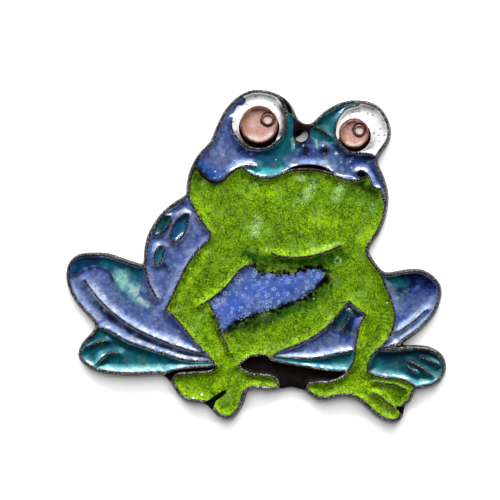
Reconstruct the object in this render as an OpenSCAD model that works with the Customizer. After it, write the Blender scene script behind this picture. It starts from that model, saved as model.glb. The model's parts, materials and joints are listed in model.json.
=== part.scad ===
// Enamelled frog pendant: a flat cast blank with thin raised walls, and a field of fired glass in each
// pocket.
// The frog lies on its back face, with its head toward +Y and its enamelled face up.
// "left" and "right" in the names are the viewer's left (-X) and right (+X).

/* [Size] */
// Width of the frog from foot to foot
frog_w = 54.4; // [50:0.2:70]
// Thickness of the cast plate under the enamel
plate_t = 1.6; // [1.2:0.1:2.4]
// Height of the raised walls above the plate
wall_h = 1; // [0.7:0.1:1.4]
// How far the enamel stops below the top of the walls
enamel_drop = 0.25; // [0.1:0.05:0.4]

/* [Walls] */
// Width of the rim round the outside
rim_w = 0.4; // [0.3:0.05:0.6]
// Width of the raised lines between the fields
line_w = 0.36; // [0.3:0.02:0.5]
// How far the plate stands out past the rim
flare = 0.2; // [0.1:0.05:0.3]

/* [Hanging hole] */
// Radius of the hole between the eyes
hole_r = 1; // [0.8:0.05:1.05]

/* [Eyes] */
// Radius of the left pupil, outside its ring
left_pupil_r = 2.7; // [2.5:0.05:2.8]
// Radius of the right pupil, outside its ring
right_pupil_r = 2.15; // [2:0.05:2.2]
// Width of the ring round each pupil
ring_w = 0.28; // [0.2:0.02:0.34]
// Height of the pupils' rings above the raised walls
ring_rise = 0.5; // [0.3:0.1:0.8]

/* [Hidden] */

wall_top = plate_t + wall_h;
enamel_top = wall_top - enamel_drop;
ring_top = wall_top + ring_rise;
pupil_drop = 0.15;        // how far the pupils' glass stops below the top of their rings
pupil_top = ring_top - pupil_drop;
sliver = 0.1;             // pockets narrower than twice this are left as metal
pinch = 0.02;             // necks narrower than twice this are cut through
bare_wall = 0.1;          // least metal between a bare recess and the glass beside it
curve_steps = 2;          // straight pieces between two points of a drawn curve
drawn_w = 54.4;           // width at which the outlines below are drawn
s = frog_w / drawn_w;
thin_line_w = 0.8 * line_w;     // width of the raised lines that end free, and round the spots
through = 1;              // how far the drill runs past each face

periwinkle = "#6f7fc8";
navy = "#1f3f8f";
teal = "#1f8a8f";
green = "#86b400";
silver = "#e4e4e4";
copper_pink = "#d9a79a";
oxidised = "#2b1c18";

// Outline, clockwise from the lug between the eyes.
frog_outline = [
    // lug
    [7.5, 18.7], [8.4, 18.7], [9.2, 19.4],
    // right eye
    [10.4, 20.5], [12, 21.4], [13.5, 21.9], [15, 22], [16.6, 21.8], [18, 21.2], [19, 20.1], [19.7, 18.6],
    [19.9, 17.1], [19.5, 15.7], [18.7, 14.6], [18.1, 13.6], [18.1, 12.6],
    // right cheek and neck
    [18.8, 11.1], [19.3, 9.5], [19.5, 7.9], [19.3, 6.1], [18.8, 4.3], [18, 2.6], [17.1, 1.3], [16.7, 0.3],
    [17.2, -0.8], [18.1, -2], [19, -2.7],
    // right thigh
    [20.2, -2.6], [21.8, -2.3], [23.6, -2.2], [25.1, -2.7], [26.4, -3.8], [27, -5.2], [26.8, -6.9],
    [26.1, -8.6], [24.9, -10.1], [23.2, -11.6], [21.6, -12.7],
    // right foot
    [21.6, -13.1], [23.4, -13.1], [25.2, -13.3], [26.7, -14.1], [27.4, -15.1], [27.6, -16.4], [27.1, -17.8],
    [26.2, -18.7], [24.8, -19.2], [23.5, -19.4],
    // right hand
    [23, -20], [22.6, -21], [21.8, -21.7], [21.5, -22.5], [21.3, -23.5], [20.4, -24.1], [18.8, -23.9],
    [17.2, -22.9], [15.8, -21.6], [14.4, -20.7], [12.8, -20.5], [11.4, -20.8], [10.2, -21], [9, -20.8],
    [8.1, -20.2],
    // web between the hands
    [7.2, -19.5], [5.6, -19.1], [4.2, -19.3],
    // left hand
    [2.8, -19.6], [1.2, -19.5], [0, -19.4], [-0.8, -19.9], [-1.1, -21], [-1.7, -22.3], [-2.6, -23.4],
    [-3.7, -23.7], [-4.9, -23.3], [-5.8, -22.4], [-6.6, -21.6], [-8, -21.4], [-9.4, -21.2], [-10.5, -20.4],
    [-11.2, -19.3], [-12, -18.1], [-12.9, -17.4],
    // left foot
    [-14.4, -17.4], [-16.4, -17.5], [-18.6, -17.5], [-20.6, -17.3], [-22.4, -16.9], [-23.9, -16.1],
    [-24.9, -15], [-24.9, -13.7], [-24.1, -12.3], [-22.9, -11.1],
    // left thigh
    [-22.7, -10], [-24.2, -8.4], [-25.6, -6.7], [-26.5, -4.8], [-26.8, -2.9], [-26.3, -1.1], [-24.9, 0],
    [-22.9, 0.2], [-20.7, 0.1], [-18.6, -0.6], [-16.8, -1.2], [-15.7, -1.4],
    // back
    [-15.6, 0.2], [-15.2, 2.4], [-14.2, 4.4], [-12.8, 6.2], [-11, 7.6], [-9.6, 8.5],
    // left cheek
    [-9.5, 9.6], [-9.2, 11.4], [-8.5, 13.2], [-7.5, 14.7], [-6.2, 16],
    // left eye
    [-5.6, 17.3], [-4.9, 19], [-3.9, 20.8], [-2.4, 22.4], [-0.6, 23.4], [1.2, 23.6], [3, 23.2], [4.7, 22.3],
    [5.8, 21], [6.4, 19.6], [6.9, 19]
];

// Raised lines that part one field from the next, each drawn along its middle.
cheek_left = [
    [-9.6, 11.7], [-8.5, 12.2], [-7.8, 12.2], [-7.2, 11.3], [-6.2, 10.5], [-5.2, 10.2], [-4.2, 10.5],
    [-3.2, 11.4], [-2.2, 12.1], [-1.4, 12.4]
];
lip = [
    [-1.4, 12.4], [-0.8, 11.7], [0.3, 11.1], [1.8, 10.8], [3.2, 10.9], [4.4, 11.4], [5.6, 11.8], [7.2, 12],
    [8.8, 11.9], [10.4, 11.6], [11.8, 11.1], [13, 10.6], [14.2, 10.4], [15.4, 10.5], [16.5, 11]
];
cheek_right = [
    [16.5, 11], [16.9, 10.3], [17.1, 9.6], [17.7, 9.2], [18.3, 9.1], [18.6, 8.3], [18.8, 7.4], [19.3, 6.2]
];
chin_back = [[-9.8, 9], [-9.2, 8.3], [-8.7, 7.2], [-7.9, 5.6], [-6.9, 4.1], [-6, 2.9]];
back_arm = [
    [-6, 2.9], [-6.2, 2], [-7.1, 1.1], [-8.1, 0.1], [-9.2, -1.5], [-10.3, -3.6], [-11.2, -5.6], [-12, -7.2],
    [-12.4, -8]
];
arm_left = [
    [-12.4, -8], [-11.5, -8.8], [-10.5, -9.8], [-9.6, -10.9], [-8.8, -11.9], [-8, -12.8], [-7.2, -13.7],
    [-6.4, -14.5], [-5.7, -15.4], [-5.1, -16.4]
];
foot_low_left = [[-13.6, -17.4], [-12, -16.9], [-10.5, -16.5], [-8, -16.2], [-5.1, -16.1]];
hand_left = [[-5.1, -16.4], [-5.8, -16.8], [-7, -17], [-9, -17.1], [-10.3, -17.2], [-11, -17.6],
    [-11.5, -18.6]];
back_thigh = [[-16.2, -1.2], [-15.4, -1.8], [-15.2, -2.8], [-14.8, -4.3], [-14.1, -5.6], [-13.6, -6.4]];
thigh_foot = [
    [-23.4, -10.3], [-22, -10.5], [-20.5, -11], [-19, -11.9], [-17.5, -12.7], [-16, -13.2], [-14, -13.9],
    [-12, -14.5], [-10.5, -15], [-9, -15.3], [-7.4, -15.4], [-5.6, -15.4]
];
inner_left = [
    [13.8, -6.9], [13, -7.8], [12.4, -8.6], [11.6, -9.5], [10.8, -10.4], [9.8, -11.2], [8.6, -12],
    [7.2, -12.7],
    [5.8, -13.3], [4.4, -13.8], [3.4, -14.3], [3, -14.8], [2.9, -15.3]
];
inner_right = [
    [13.8, -6.9], [14.6, -7.7], [15.4, -8.3], [16.1, -8.8], [15.8, -9.4], [15.3, -10.2], [15.1, -11],
    [14.9, -12],
    [14.7, -13], [14.6, -14], [14.5, -15], [14.2, -15.9], [13.6, -16.8]
];
inner_foot_low = [[2.9, -15.3], [5, -15.7], [8, -16.2], [10.5, -16.6], [13.6, -16.8]];
inner_foot_top = [[3.2, -14.8], [4.6, -14.9], [6.5, -15], [8.5, -15], [10, -14.8], [12, -14.3],
    [14.6, -13.9]];
arm_right = [
    [17.9, -2.2], [18.5, -3.4], [18.9, -4.6], [19.4, -5.7], [19.8, -6.8], [20.1, -7.8], [20.3, -8.9],
    [20.2, -10],
    [19.9, -11], [19.5, -11.9], [18.9, -12.8], [17.9, -13.7]
];
wrist_right = [[17.9, -13.7], [17.3, -14.3], [16.8, -15], [16.5, -15.9], [16.4, -16.9]];
thigh_low_right = [[17.9, -13.7], [19.2, -13.4], [20.3, -13], [21.4, -12.7]];
foot_top_right = [[17.9, -13.7], [19.4, -13.8], [21, -13.7], [22.6, -13.6]];
foot_low_right = [[16.4, -16.9], [17.5, -17.4], [18.8, -17.7], [20.2, -17.8], [21.4, -18],
    [22.3, -18.4], [23.2, -19.1]];
thumb_left = [
    [-2, -16], [-1.3, -16.7], [-0.5, -17.1], [0.6, -17.3], [2, -17.4], [3, -17.6], [3.6, -18.2], [3.7, -19],
    [3.4, -19.6]
];
belly_edge_low = [[-2, -16], [-1.3, -15.4], [-0.5, -14.8], [0.6, -14.6], [1.8, -14.5], [2.4, -14.9],
    [2.9, -15.3]];
thumb_right = [
    [13.6, -16.8], [13.1, -17.4], [12.3, -17.9], [11.2, -18.3], [10, -18.4], [8.7, -18.4],
    [7.9, -18.8], [7.7, -19.9]
];
eye_left = [
    [-2.9, 19.4], [-3, 18.4], [-2.8, 17.5], [-2.2, 16.5], [-1.4, 15.7], [-0.5, 15.1], [0.6, 14.9],
    [1.8, 15],
    [2.9, 15.4], [3.9, 16.2], [4.6, 17.2], [4.9, 18.3], [4.9, 19.5], [4.6, 20.7], [4.2, 21.6],
    [3.6, 22.5], [3.3, 23.4]
];
eye_right = [
    [15.6, 21.8], [15.2, 21.2], [14.6, 21], [13.8, 20.8], [13.1, 20.3], [12.5, 19.5], [12.1, 18.7],
    [11.9, 17.7],
    [11.9, 16.7], [12.4, 15.8], [13.1, 15], [14.1, 14.4], [15.2, 14.2], [16.3, 14.2], [17.2, 14],
    [18.3, 13.2]
];

parting_lines = [
    cheek_left, lip, cheek_right, chin_back, back_arm, arm_left, hand_left, foot_low_left, back_thigh,
    thigh_foot,
    inner_left, inner_right, inner_foot_low, inner_foot_top, arm_right, wrist_right, thigh_low_right,
    foot_top_right,
    foot_low_right, thumb_left, belly_edge_low, thumb_right, eye_left, eye_right
];

// Raised lines that end free inside a field.
drawing_lines = [
    [[-1.6, 12.4], [-0.8, 12.5], [0, 12.5], [0.5, 12.3]],  // left mouth corner
    [[16.8, 10.7], [16.3, 11.4], [15.5, 11.8], [14.9, 11.5]],  // right mouth corner
    [[8.5, 18.3], [9.2, 18], [10, 17.6], [10.7, 17.1], [11.2, 16.7]],                       // brow crease
    // chin
    [[2.8, 0], [3.8, -0.4], [5.2, -0.6], [6.8, -0.6], [8.4, -0.4], [10, 0], [11.4, 0.5], [12.6, 1.1]],
    [[-0.9, -1.8], [-2, -2.6], [-3, -3.9], [-4, -5], [-5, -5.8], [-6, -6.6], [-7.4, -7.4]],  // upper arm
    [
        [-6.2, -6.8], [-5.9, -7.7], [-5.4, -8.7], [-5, -9.7], [-4.7, -10.7], [-4.4, -11.6], [-4, -12.4],
        [-3.6, -13.2], [-3.5, -14]
    ],                                                                                       // lower arm
    [
        [-24, -3.8], [-23.6, -4.5], [-23, -5.2], [-22, -6.5], [-21, -7.5], [-20, -8.4], [-19, -9.2],
        [-18, -9.9],
        [-17, -10.5], [-16, -11.1], [-14, -12], [-12, -12.8], [-10, -13.5], [-8, -14.1], [-6.9, -14.1]
    ],                                                                                       // left shin
    [[-23.5, -13.3], [-22.6, -12.9], [-21.6, -12.7], [-20.8, -12.5]],                        // left toes
    [[-22.2, -15.8], [-21.5, -15], [-20.5, -14.4], [-19.1, -14.3]],
    [[13.7, -8.2], [13.8, -9], [13.6, -9.7], [13.2, -10.4], [12.8, -11]],                    // inner knee
    // right shin
    [[20.1, -11.4], [21, -11], [22, -10.4], [23, -9.7], [23.8, -9], [24.4, -8.4], [24.9, -8.1]],
    [[24.3, -15], [25, -15.3], [25.8, -15.6], [26.4, -15.9]],                                // right toes
    [[22.4, -15.5], [23.1, -15.8], [23.9, -16.2], [24.8, -16.9], [25.5, -17.5]],
    [[22.1, -16.1], [22.5, -16.6], [23.2, -16.9]],
    [[17.4, -18.3], [18.5, -18.5], [19.5, -18.6], [20.5, -18.8], [21.7, -19.4]],  // right fingers
    [[17.2, -19.9], [17.8, -20.1], [18.4, -20.6], [19, -21.1], [20.1, -21.9]]
];

// Solid metal round the hanging hole.
lug = [
    [5.9, 19.7], [6.6, 19.2], [8.6, 19], [8.8, 18.3], [8.4, 17.7], [8.3, 17], [8.1, 16.3], [7.3, 15.7],
    [6.4, 15.8], [5.9, 16.5], [5.8, 17.6], [5.9, 18.6]
];

// Recesses that are left bare.
mouth_gap = [
    [4.6, 11.6], [5.6, 12.3], [7, 12.7], [8.4, 12.7], [9.8, 12.5], [11, 12], [11.8, 11.3], [10.4, 11.6],
    [8.8, 11.9], [7.2, 12], [5.6, 11.8]
];
mouth_corner_gap = [[14.8, 11.2], [15.5, 11.7], [16.2, 11.4], [16.6, 11], [15.8, 10.6]];
eye_crescent = [[3.8, 22.8], [4.6, 22.2], [5.3, 21.3], [5.8, 20.2], [5.5, 19.9], [5.1, 20.1],
    [4.8, 21.1], [4.4, 22]];
thigh_notch_right = [[19.5, -13.5], [20.6, -13.2], [21.6, -12.9], [22.4, -13.3], [21, -13.5]];

// Low webs between the fingers, where the casting has no rim.
finger_webs = [
    [
        [-6.9, -22.4], [-6.8, -21.2], [-6, -20.8], [-5, -20.1], [-4.2, -19.6], [-3.6, -19.5], [-3.8, -20],
        [-4.5, -20.6], [-5.2, -21.1], [-5.5, -22], [-6, -22.8]
    ],
    [[20.4, -22], [20.6, -21.7], [21.3, -21.8], [21.9, -21.9], [22, -23], [21.5, -23.3], [20.9, -22.7]]
];

// Outlines of the fields of glass.
spot_upper = [[-11.9, 5.2], [-12.9, 5], [-13.7, 3.9], [-14, 2.8], [-13.5, 2.9], [-12.5, 3.6], [-11.9, 4.5]];
spot_middle = [
    [-9.3, 5.5], [-10.1, 5.2], [-10.9, 4.5], [-11.4, 3.5], [-11.6, 2.3], [-11.1, 1.8], [-10.3, 2.3],
    [-9.7, 3.3]
];
spot_lower = [[-12.7, 0.8], [-13.4, 0.7], [-13.8, -0.2], [-13.8, -1.4], [-13.3, -1.3], [-13, -0.4]];
belly = [
    [-0.9, -1.8], [-0.4, -1.6], [0, -1.8], [0.7, -2.5], [1.3, -2.8], [2.4, -2.8], [3.5, -3],
    [5, -2.9], [6.2, -2.8],
    [7.2, -2.4], [8.6, -2.2], [9.9, -2.3], [10.3, -3.1], [9.9, -4.1], [8.9, -5.1], [7.8, -6.1], [6.7, -6.8],
    [5.1, -7.2], [3.8, -7.7], [2, -8.3], [0.3, -8.8], [-1.2, -9.4], [-2.6, -10], [-3.6, -11], [-4.4, -11.5],
    [-5, -9.7], [-5.4, -8.7], [-6.2, -6.8], [-5, -5.8], [-4, -5], [-3, -3.9], [-2, -2.6]
];

// Seams, where two colours meet in one pocket with no metal between them.
head_seam = [[1.6, 15], [1.1, 14.4], [0.4, 13.7], [0.3, 12.9], [0.4, 12.4]];
snout_seam = [[6.1, 16.2], [6.1, 15.1], [5.3, 14.6], [4.5, 13.8], [4.4, 13.1], [4.9, 12.6], [5, 11.6]];
brow_seam = [[8.1, 17.1], [8.9, 16.4], [10.1, 16.1], [11.3, 15.9], [12.6, 15.6]];
smear_seam = [[-2.2, 22.9], [-1.3, 22.4], [-0.9, 21.9], [-1.4, 21.2], [-2, 21.2], [-2.5, 20.5],
    [-2.9, 19.4]];
left_thigh_seam = [
    [-27.5, -3.2], [-26, -3.1], [-25, -2.7], [-24.2, -2], [-22.5, -1.7], [-21, -2], [-20.2, -2.8],
    [-19.6, -4.6],
    [-18.6, -6.2], [-17.4, -6.8], [-16.3, -5.8], [-15.8, -4.2], [-14.8, -4.1]
];
right_thigh_seam = [
    [18.7, -5], [20, -5.6], [21.2, -5.4], [22.2, -5], [23.4, -4.5], [24.6, -4.6], [25.6, -4.3], [27.9, -4.8]
];
inner_seam = [[9.4, -11.5], [11.2, -11], [12.4, -11.2], [13.3, -11.7], [15.2, -11.8]];

// [centre x, centre y, radius] of the round parts.
left_pupil_c = [1, 18.4];
left_glint_c = [2.25, 19.1];
right_pupil_c = [14.55, 17.1];
right_glint_c = [15.3, 17.5];
glint_r = [0.9, 0.85];
left_shade = [1, 17.9, 2.95];       // bare crescent under the left pupil
right_shade = [14.7, 16.7, 2.3];    // bare crescent under the right pupil
left_eye_c = [1, 19];
right_eye_c = [15.9, 17.9];
dome_r = 12;                        // radius of curvature of the eyes' glass
dome_rise = 0.7;                    // how far the domes stand above the rest of the enamel
dome_top = enamel_top + dome_rise;
hole_c = [7, 16.9];
nostrils = [[7.6, 15.1, 0.3], [10.4, 15, 0.3]];

// Point at t (0 to 1) between b and c on the smooth curve through a, b, c and d.
function spline(a, b, c, d, t) =
    0.5 * (2 * b + (c - a) * t + (2 * a - 5 * b + 4 * c - d) * t * t + (3 * b - a - 3 * c + d) * t * t * t);
// Smooth closed curve through the points p.
function closed(p) =
    let (m = len(p))
    [for (i = [0:m - 1], j = [0:curve_steps - 1])
        s * spline(p[(i + m - 1) % m], p[i], p[(i + 1) % m], p[(i + 2) % m], j / curve_steps)];
// Smooth open curve through the points p.
function open(p) =
    let (m = len(p))
    concat(
        [for (i = [0:m - 2], j = [0:curve_steps - 1])
            s * spline(p[max(i - 1, 0)], p[i], p[i + 1], p[min(i + 2, m - 1)], j / curve_steps)],
        [s * p[m - 1]]);
function reversed(p) = [for (i = [len(p) - 1:-1:0]) p[i]];
function scaled(p) = [for (q = p) s * q];
// Direction across the path q at its point i.
function across(q, i) =
    let (d = q[min(i + 1, len(q) - 1)] - q[max(i - 1, 0)]) [-d[1], d[0]] / norm(d);
// Outline of a band of width w along the path q.
function band(q, w) = concat(
    [for (i = [0:len(q) - 1]) q[i] + across(q, i) * w / 2],
    [for (i = [len(q) - 1:-1:0]) q[i] - across(q, i) * w / 2]);
function middle(v, i) = (max([for (p = v) p[i]]) + min([for (p = v) p[i]])) / 2;

outline = closed(frog_outline);
centre = [middle(outline, 0), middle(outline, 1)];

// Parts of the plane that hold one colour each. Their far corners lie outside the frog.
head_area = concat(
    open(cheek_left), open(lip), open(cheek_right), scaled([[24, 6], [24, 27], [-12, 27], [-12, 11]]));
head_blue_area = concat(
    open(cheek_left), open(drawing_lines[0]), reversed(open(head_seam)),
    scaled([[1, 18.4], [-2.9, 19.4]]), reversed(open(smear_seam)), scaled([[-2.2, 27], [-12, 27],
    [-12, 11]]));
snout_area = concat(
    open(snout_seam), scaled([[5.6, 11.6], [8, 10], [24, 4], [24, 13.6], [17.9, 13.5], [14.5, 17]]),
    reversed(open(brow_seam)), scaled([[7, 16.9]]));
brow_area = concat(
    open(brow_seam), scaled([[14.5, 17]]), reversed(open(eye_right)), scaled([[15.6, 27], [7, 27],
    [7, 16.9]]));
left_eye_area = concat(open(eye_left), scaled([[3.3, 27], [-2.2, 27]]), open(smear_seam));
right_eye_area = concat(open(eye_right), scaled([[24, 13], [24, 27], [15.6, 27]]));
back_area = concat(
    open(chin_back), open(back_arm), reversed(open(back_thigh)), scaled([[-18, 0], [-18, 8], [-11, 11]]));
thigh_left_area = concat(
    open(back_thigh), open(arm_left), reversed(open(thigh_foot)), scaled([[-30, -10.3], [-30, 3],
    [-16.2, 3]]));
thigh_left_navy_area = concat(open(left_thigh_seam), scaled([[-12, 3], [-30, 3]]));
thigh_left_blue_area = concat(open(left_thigh_seam), scaled([[-4, -4], [-4, -20], [-30, -20]]));
foot_left_area = concat(
    open(thigh_foot), reversed(open(foot_low_left)), scaled([[-14, -20], [-30, -20], [-30, -10.3]]));
inner_area = concat(open(inner_left), open(inner_foot_low), reversed(open(inner_right)));
inner_foot_area = concat(
    open(inner_foot_top), scaled([[14.5, -15], [14.2, -15.9]]), reversed(open(inner_foot_low)));
inner_teal_area = concat(open(inner_seam), scaled([[17, -5], [9, -5]]));
inner_blue_area = concat(open(inner_seam), scaled([[17, -18], [0, -18], [0, -12]]));
thigh_right_area = concat(open(arm_right), open(thigh_low_right), scaled([[30, -12.7], [30, 0],
    [17.9, 0]]));
thigh_right_navy_area = concat(open(right_thigh_seam), scaled([[30, 0], [16, 0]]));
thigh_right_blue_area = concat(open(right_thigh_seam), scaled([[30, -20], [16, -20]]));
foot_right_area = concat(
    reversed(open(wrist_right)), open(foot_top_right), scaled([[30, -13], [30, -21], [23.2, -21]]),
    reversed(open(foot_low_right)));

spots = [closed(spot_upper), closed(spot_middle), closed(spot_lower)];
not_green = [
    head_area, back_area, thigh_left_area, foot_left_area, closed(belly), inner_area, thigh_right_area,
    foot_right_area
];
green_box = scaled([[-30, -26], [30, -26], [30, 16], [-30, 16]]);

// Low webs of bare metal, where the casting has no rim: between the hands, and between left foot and
// left hand.
web_between_hands = concat(
    open(belly_edge_low), open(inner_foot_low), open(thumb_right), scaled([[7.7, -21], [3.4, -21]]),
    reversed(open(thumb_left)));
web_left_foot = concat(open(foot_low_left), open(hand_left), scaled([[-12.6, -20], [-14, -19]]));

module disc(c, r) translate(s * [c[0], c[1]]) circle(r = s * r, $fn = 48);

module raised_line(p, w) {
    q = open(p);
    polygon(band(q, w));
    for (end = [q[0], q[len(q) - 1]]) translate(end) circle(d = w, $fn = 12);
}

module raised_lines() {
    for (p = parting_lines) raised_line(p, line_w);
    for (p = drawing_lines) raised_line(p, thin_line_w);
    for (p = spots) difference() {
        offset(delta = thin_line_w) polygon(p);
        polygon(p);
    }
    for (n = nostrils) disc(n, n[2]);
}

// Recesses that are left bare.
module bare_pockets() {
    for (p = [mouth_gap, mouth_corner_gap, eye_crescent, thigh_notch_right]) polygon(closed(p));
    disc(left_shade, left_shade[2]);
    disc(right_shade, right_shade[2]);
}

module low_webs() {
    for (p = finger_webs) polygon(scaled(p));
    polygon(web_between_hands);
    polygon(web_left_foot);
}

module rim() offset(delta = -flare) polygon(outline);

// Everything inside the rim that is to hold enamel.
module pockets() {
    offset(delta = sliver, chamfer = true) offset(delta = -sliver, chamfer = true) difference() {
        offset(delta = -rim_w - flare) polygon(outline);
        raised_lines();
        bare_pockets();
        low_webs();
        polygon(closed(lug));
        disc(left_pupil_c, left_pupil_r);
        disc(right_pupil_c, right_pupil_r);
    }
}

// Parts corners that meet in a single point.
module no_pinches() offset(delta = pinch, chamfer = true) offset(delta = -pinch, chamfer = true) children();

// The frog's box is centred on the origin in x and y.
module placed(z) translate([-centre[0], -centre[1], z]) children();

// One field of glass: what lies in the pockets within area and bounds, without the areas of others.
module glass(area, others = [], bounds = undef) {
    placed(plate_t) linear_extrude(enamel_top - plate_t) no_pinches() difference() {
        intersection() {
            pockets();
            polygon(area);
            polygon(is_undef(bounds) ? area : bounds);
        }
        for (a = others) polygon(a);
    }
}

// The white of an eye: a field of glass with a domed top.
module eye_glass(area, c) {
    intersection() {
        placed(plate_t) linear_extrude(dome_top - plate_t) no_pinches() intersection() {
            pockets();
            polygon(area);
        }
        placed(dome_top - dome_r) translate(s * c) sphere(r = dome_r, $fn = 96);
    }
}

module pupil_glass(c, r, glint_c, glint) {
    placed(plate_t) linear_extrude(pupil_top - plate_t) difference() {
        disc(c, r - ring_w);
        disc(glint_c, glint);
    }
}

module glint_glass(glint_c, glint) {
    placed(plate_t) linear_extrude(pupil_top - plate_t) disc(glint_c, glint - ring_w);
}

module ring(c, r) {
    placed(plate_t) linear_extrude(ring_top - plate_t) difference() {
        disc(c, r);
        disc(c, r - ring_w);
    }
}

// The casting, in three nodes that are one piece of metal.
module cast_plate() {
    color(oxidised) difference() {
        union() {
            placed(0) linear_extrude(plate_t) polygon(outline);
            placed(0) linear_extrude(wall_top) intersection() {
                rim();
                polygon(closed(lug));
            }
        }
        placed(-through) translate(s * hole_c) cylinder(r = hole_r, h = wall_top + 2 * through, $fn = 64);
    }
}

module cast_walls() {
    color(oxidised) placed(plate_t) linear_extrude(wall_h) no_pinches() difference() {
        rim();
        polygon(closed(lug));
        pockets();
        difference() {
            union() {
                offset(delta = -bare_wall) bare_pockets();
                low_webs();
            }
            raised_lines();
        }
    }
}

module eye_rings() {
    color(oxidised) {
        ring(left_pupil_c, left_pupil_r);
        ring(left_glint_c, glint_r[0]);
        ring(right_pupil_c, right_pupil_r);
        ring(right_glint_c, glint_r[1]);
    }
}

// Head
module head_blue() color(periwinkle) glass(head_blue_area, [left_eye_area]);
module head_teal() color(teal)
    glass(head_area, [head_blue_area, left_eye_area, right_eye_area, snout_area, brow_area]);
module snout_blue() color(periwinkle) glass(snout_area, [right_eye_area], head_area);
module brow_teal() color(teal) glass(brow_area, [right_eye_area]);
module left_eye_white() color(silver) eye_glass(left_eye_area, left_eye_c);
module left_pupil() color(copper_pink) pupil_glass(left_pupil_c, left_pupil_r, left_glint_c, glint_r[0]);
module left_glint() color(copper_pink) glint_glass(left_glint_c, glint_r[0]);
module right_eye_white() color(silver) eye_glass(right_eye_area, right_eye_c);
module right_pupil() color(copper_pink) pupil_glass(right_pupil_c, right_pupil_r, right_glint_c,
    glint_r[1]);
module right_glint() color(copper_pink) glint_glass(right_glint_c, glint_r[1]);

// Chin, arms and hands, and the belly between them
module green_body() color(green) glass(green_box, not_green);
module belly_blue() color(periwinkle) glass(closed(belly));

// Back
module back_blue() color(periwinkle) glass(back_area, spots);
module back_spot_upper() color(teal) glass(spots[0]);
module back_spot_middle() color(teal) glass(spots[1]);
module back_spot_lower() color(teal) glass(spots[2]);

// Legs
module left_thigh_navy() color(navy) glass(thigh_left_area, [thigh_left_blue_area]);
module left_thigh_blue() color(periwinkle) glass(thigh_left_area, [thigh_left_navy_area]);
module left_foot_teal() color(teal) glass(foot_left_area);
module inner_thigh_teal() color(teal) glass(inner_area, [inner_blue_area, inner_foot_area]);
module inner_thigh_blue() color(periwinkle) glass(inner_area, [inner_teal_area, inner_foot_area]);
module inner_foot_teal() color(teal) glass(inner_foot_area);
module right_thigh_navy() color(navy) glass(thigh_right_area, [thigh_right_blue_area]);
module right_thigh_blue() color(periwinkle) glass(thigh_right_area, [thigh_right_navy_area]);
module right_foot_teal() color(teal) glass(foot_right_area);

cast_plate();
cast_walls();
eye_rings();
head_blue();
head_teal();
snout_blue();
brow_teal();
left_eye_white();
left_pupil();
left_glint();
right_eye_white();
right_pupil();
right_glint();
green_body();
belly_blue();
back_blue();
back_spot_upper();
back_spot_middle();
back_spot_lower();
left_thigh_navy();
left_thigh_blue();
left_foot_teal();
inner_thigh_teal();
inner_thigh_blue();
inner_foot_teal();
right_thigh_navy();
right_thigh_blue();
right_foot_teal();
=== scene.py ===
import json
import math

import bmesh
import bpy
import numpy as np
from mathutils import Matrix, Vector
from mathutils.geometry import delaunay_2d_cdt
from mathutils.kdtree import KDTree


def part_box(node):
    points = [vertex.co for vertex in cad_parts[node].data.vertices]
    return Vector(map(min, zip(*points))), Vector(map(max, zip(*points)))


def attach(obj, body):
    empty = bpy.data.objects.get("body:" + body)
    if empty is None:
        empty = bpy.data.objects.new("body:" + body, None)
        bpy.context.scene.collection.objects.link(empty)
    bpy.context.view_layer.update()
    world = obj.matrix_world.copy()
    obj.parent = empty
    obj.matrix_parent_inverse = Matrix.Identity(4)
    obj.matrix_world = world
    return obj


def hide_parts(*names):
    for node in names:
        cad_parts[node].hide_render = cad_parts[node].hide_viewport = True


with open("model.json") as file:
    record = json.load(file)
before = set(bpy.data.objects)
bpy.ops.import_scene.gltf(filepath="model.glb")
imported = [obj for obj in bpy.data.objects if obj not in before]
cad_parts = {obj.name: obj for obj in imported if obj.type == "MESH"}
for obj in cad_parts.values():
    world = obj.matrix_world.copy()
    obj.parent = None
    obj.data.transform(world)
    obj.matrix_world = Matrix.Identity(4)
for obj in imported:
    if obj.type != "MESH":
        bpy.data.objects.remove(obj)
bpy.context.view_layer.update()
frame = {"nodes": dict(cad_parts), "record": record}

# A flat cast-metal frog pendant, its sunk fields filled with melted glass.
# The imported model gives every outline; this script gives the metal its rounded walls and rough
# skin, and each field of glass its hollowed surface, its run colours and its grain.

MM = 0.001
SEED = 7

# ---------------------------------------------------------------- heights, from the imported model
PLATE_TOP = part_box("green_body")[0].z
GLASS_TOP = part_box("green_body")[1].z
WALL_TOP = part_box("cast_walls")[1].z
RING_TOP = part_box("eye_rings")[1].z
PUPIL_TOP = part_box("left_pupil")[1].z

# ---------------------------------------------------------------- metal
WALL_STEP = 0.1 * MM        # mesh size on the walls
WALL_ROUND = 0.16 * MM      # radius of a wall's top edges
WALL_WAVE = 0.035 * MM      # unevenness of the walls' tops
FILLET = 0.075 * MM         # how quickly a bare wall's side falls to the plate
FOOT_ROWS = (0.05 * MM, 0.11 * MM, 0.2 * MM)    # rows of mesh points beside a wall, for that fall
FLOOR_STEP = 0.3 * MM       # mesh size on the bare plate
BACK_STEP = 0.7 * MM        # mesh size on the back
BACK_WAVE = 0.05 * MM       # unevenness of the back
EDGE_ROUND = 0.22 * MM      # rounding of the plate's lower edge
LUG_REACH = 1.6 * MM        # the hanging hole's edge is within this of its middle, and no other edge is
ON_WALL = 0.03 * MM         # a point no further from a wall than this is on it
BURR = 0.75 * MM            # how far the casting's flash stands into the hanging hole
BURR_WAY = np.array((-0.6, 0.8))      # and on which side

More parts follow.
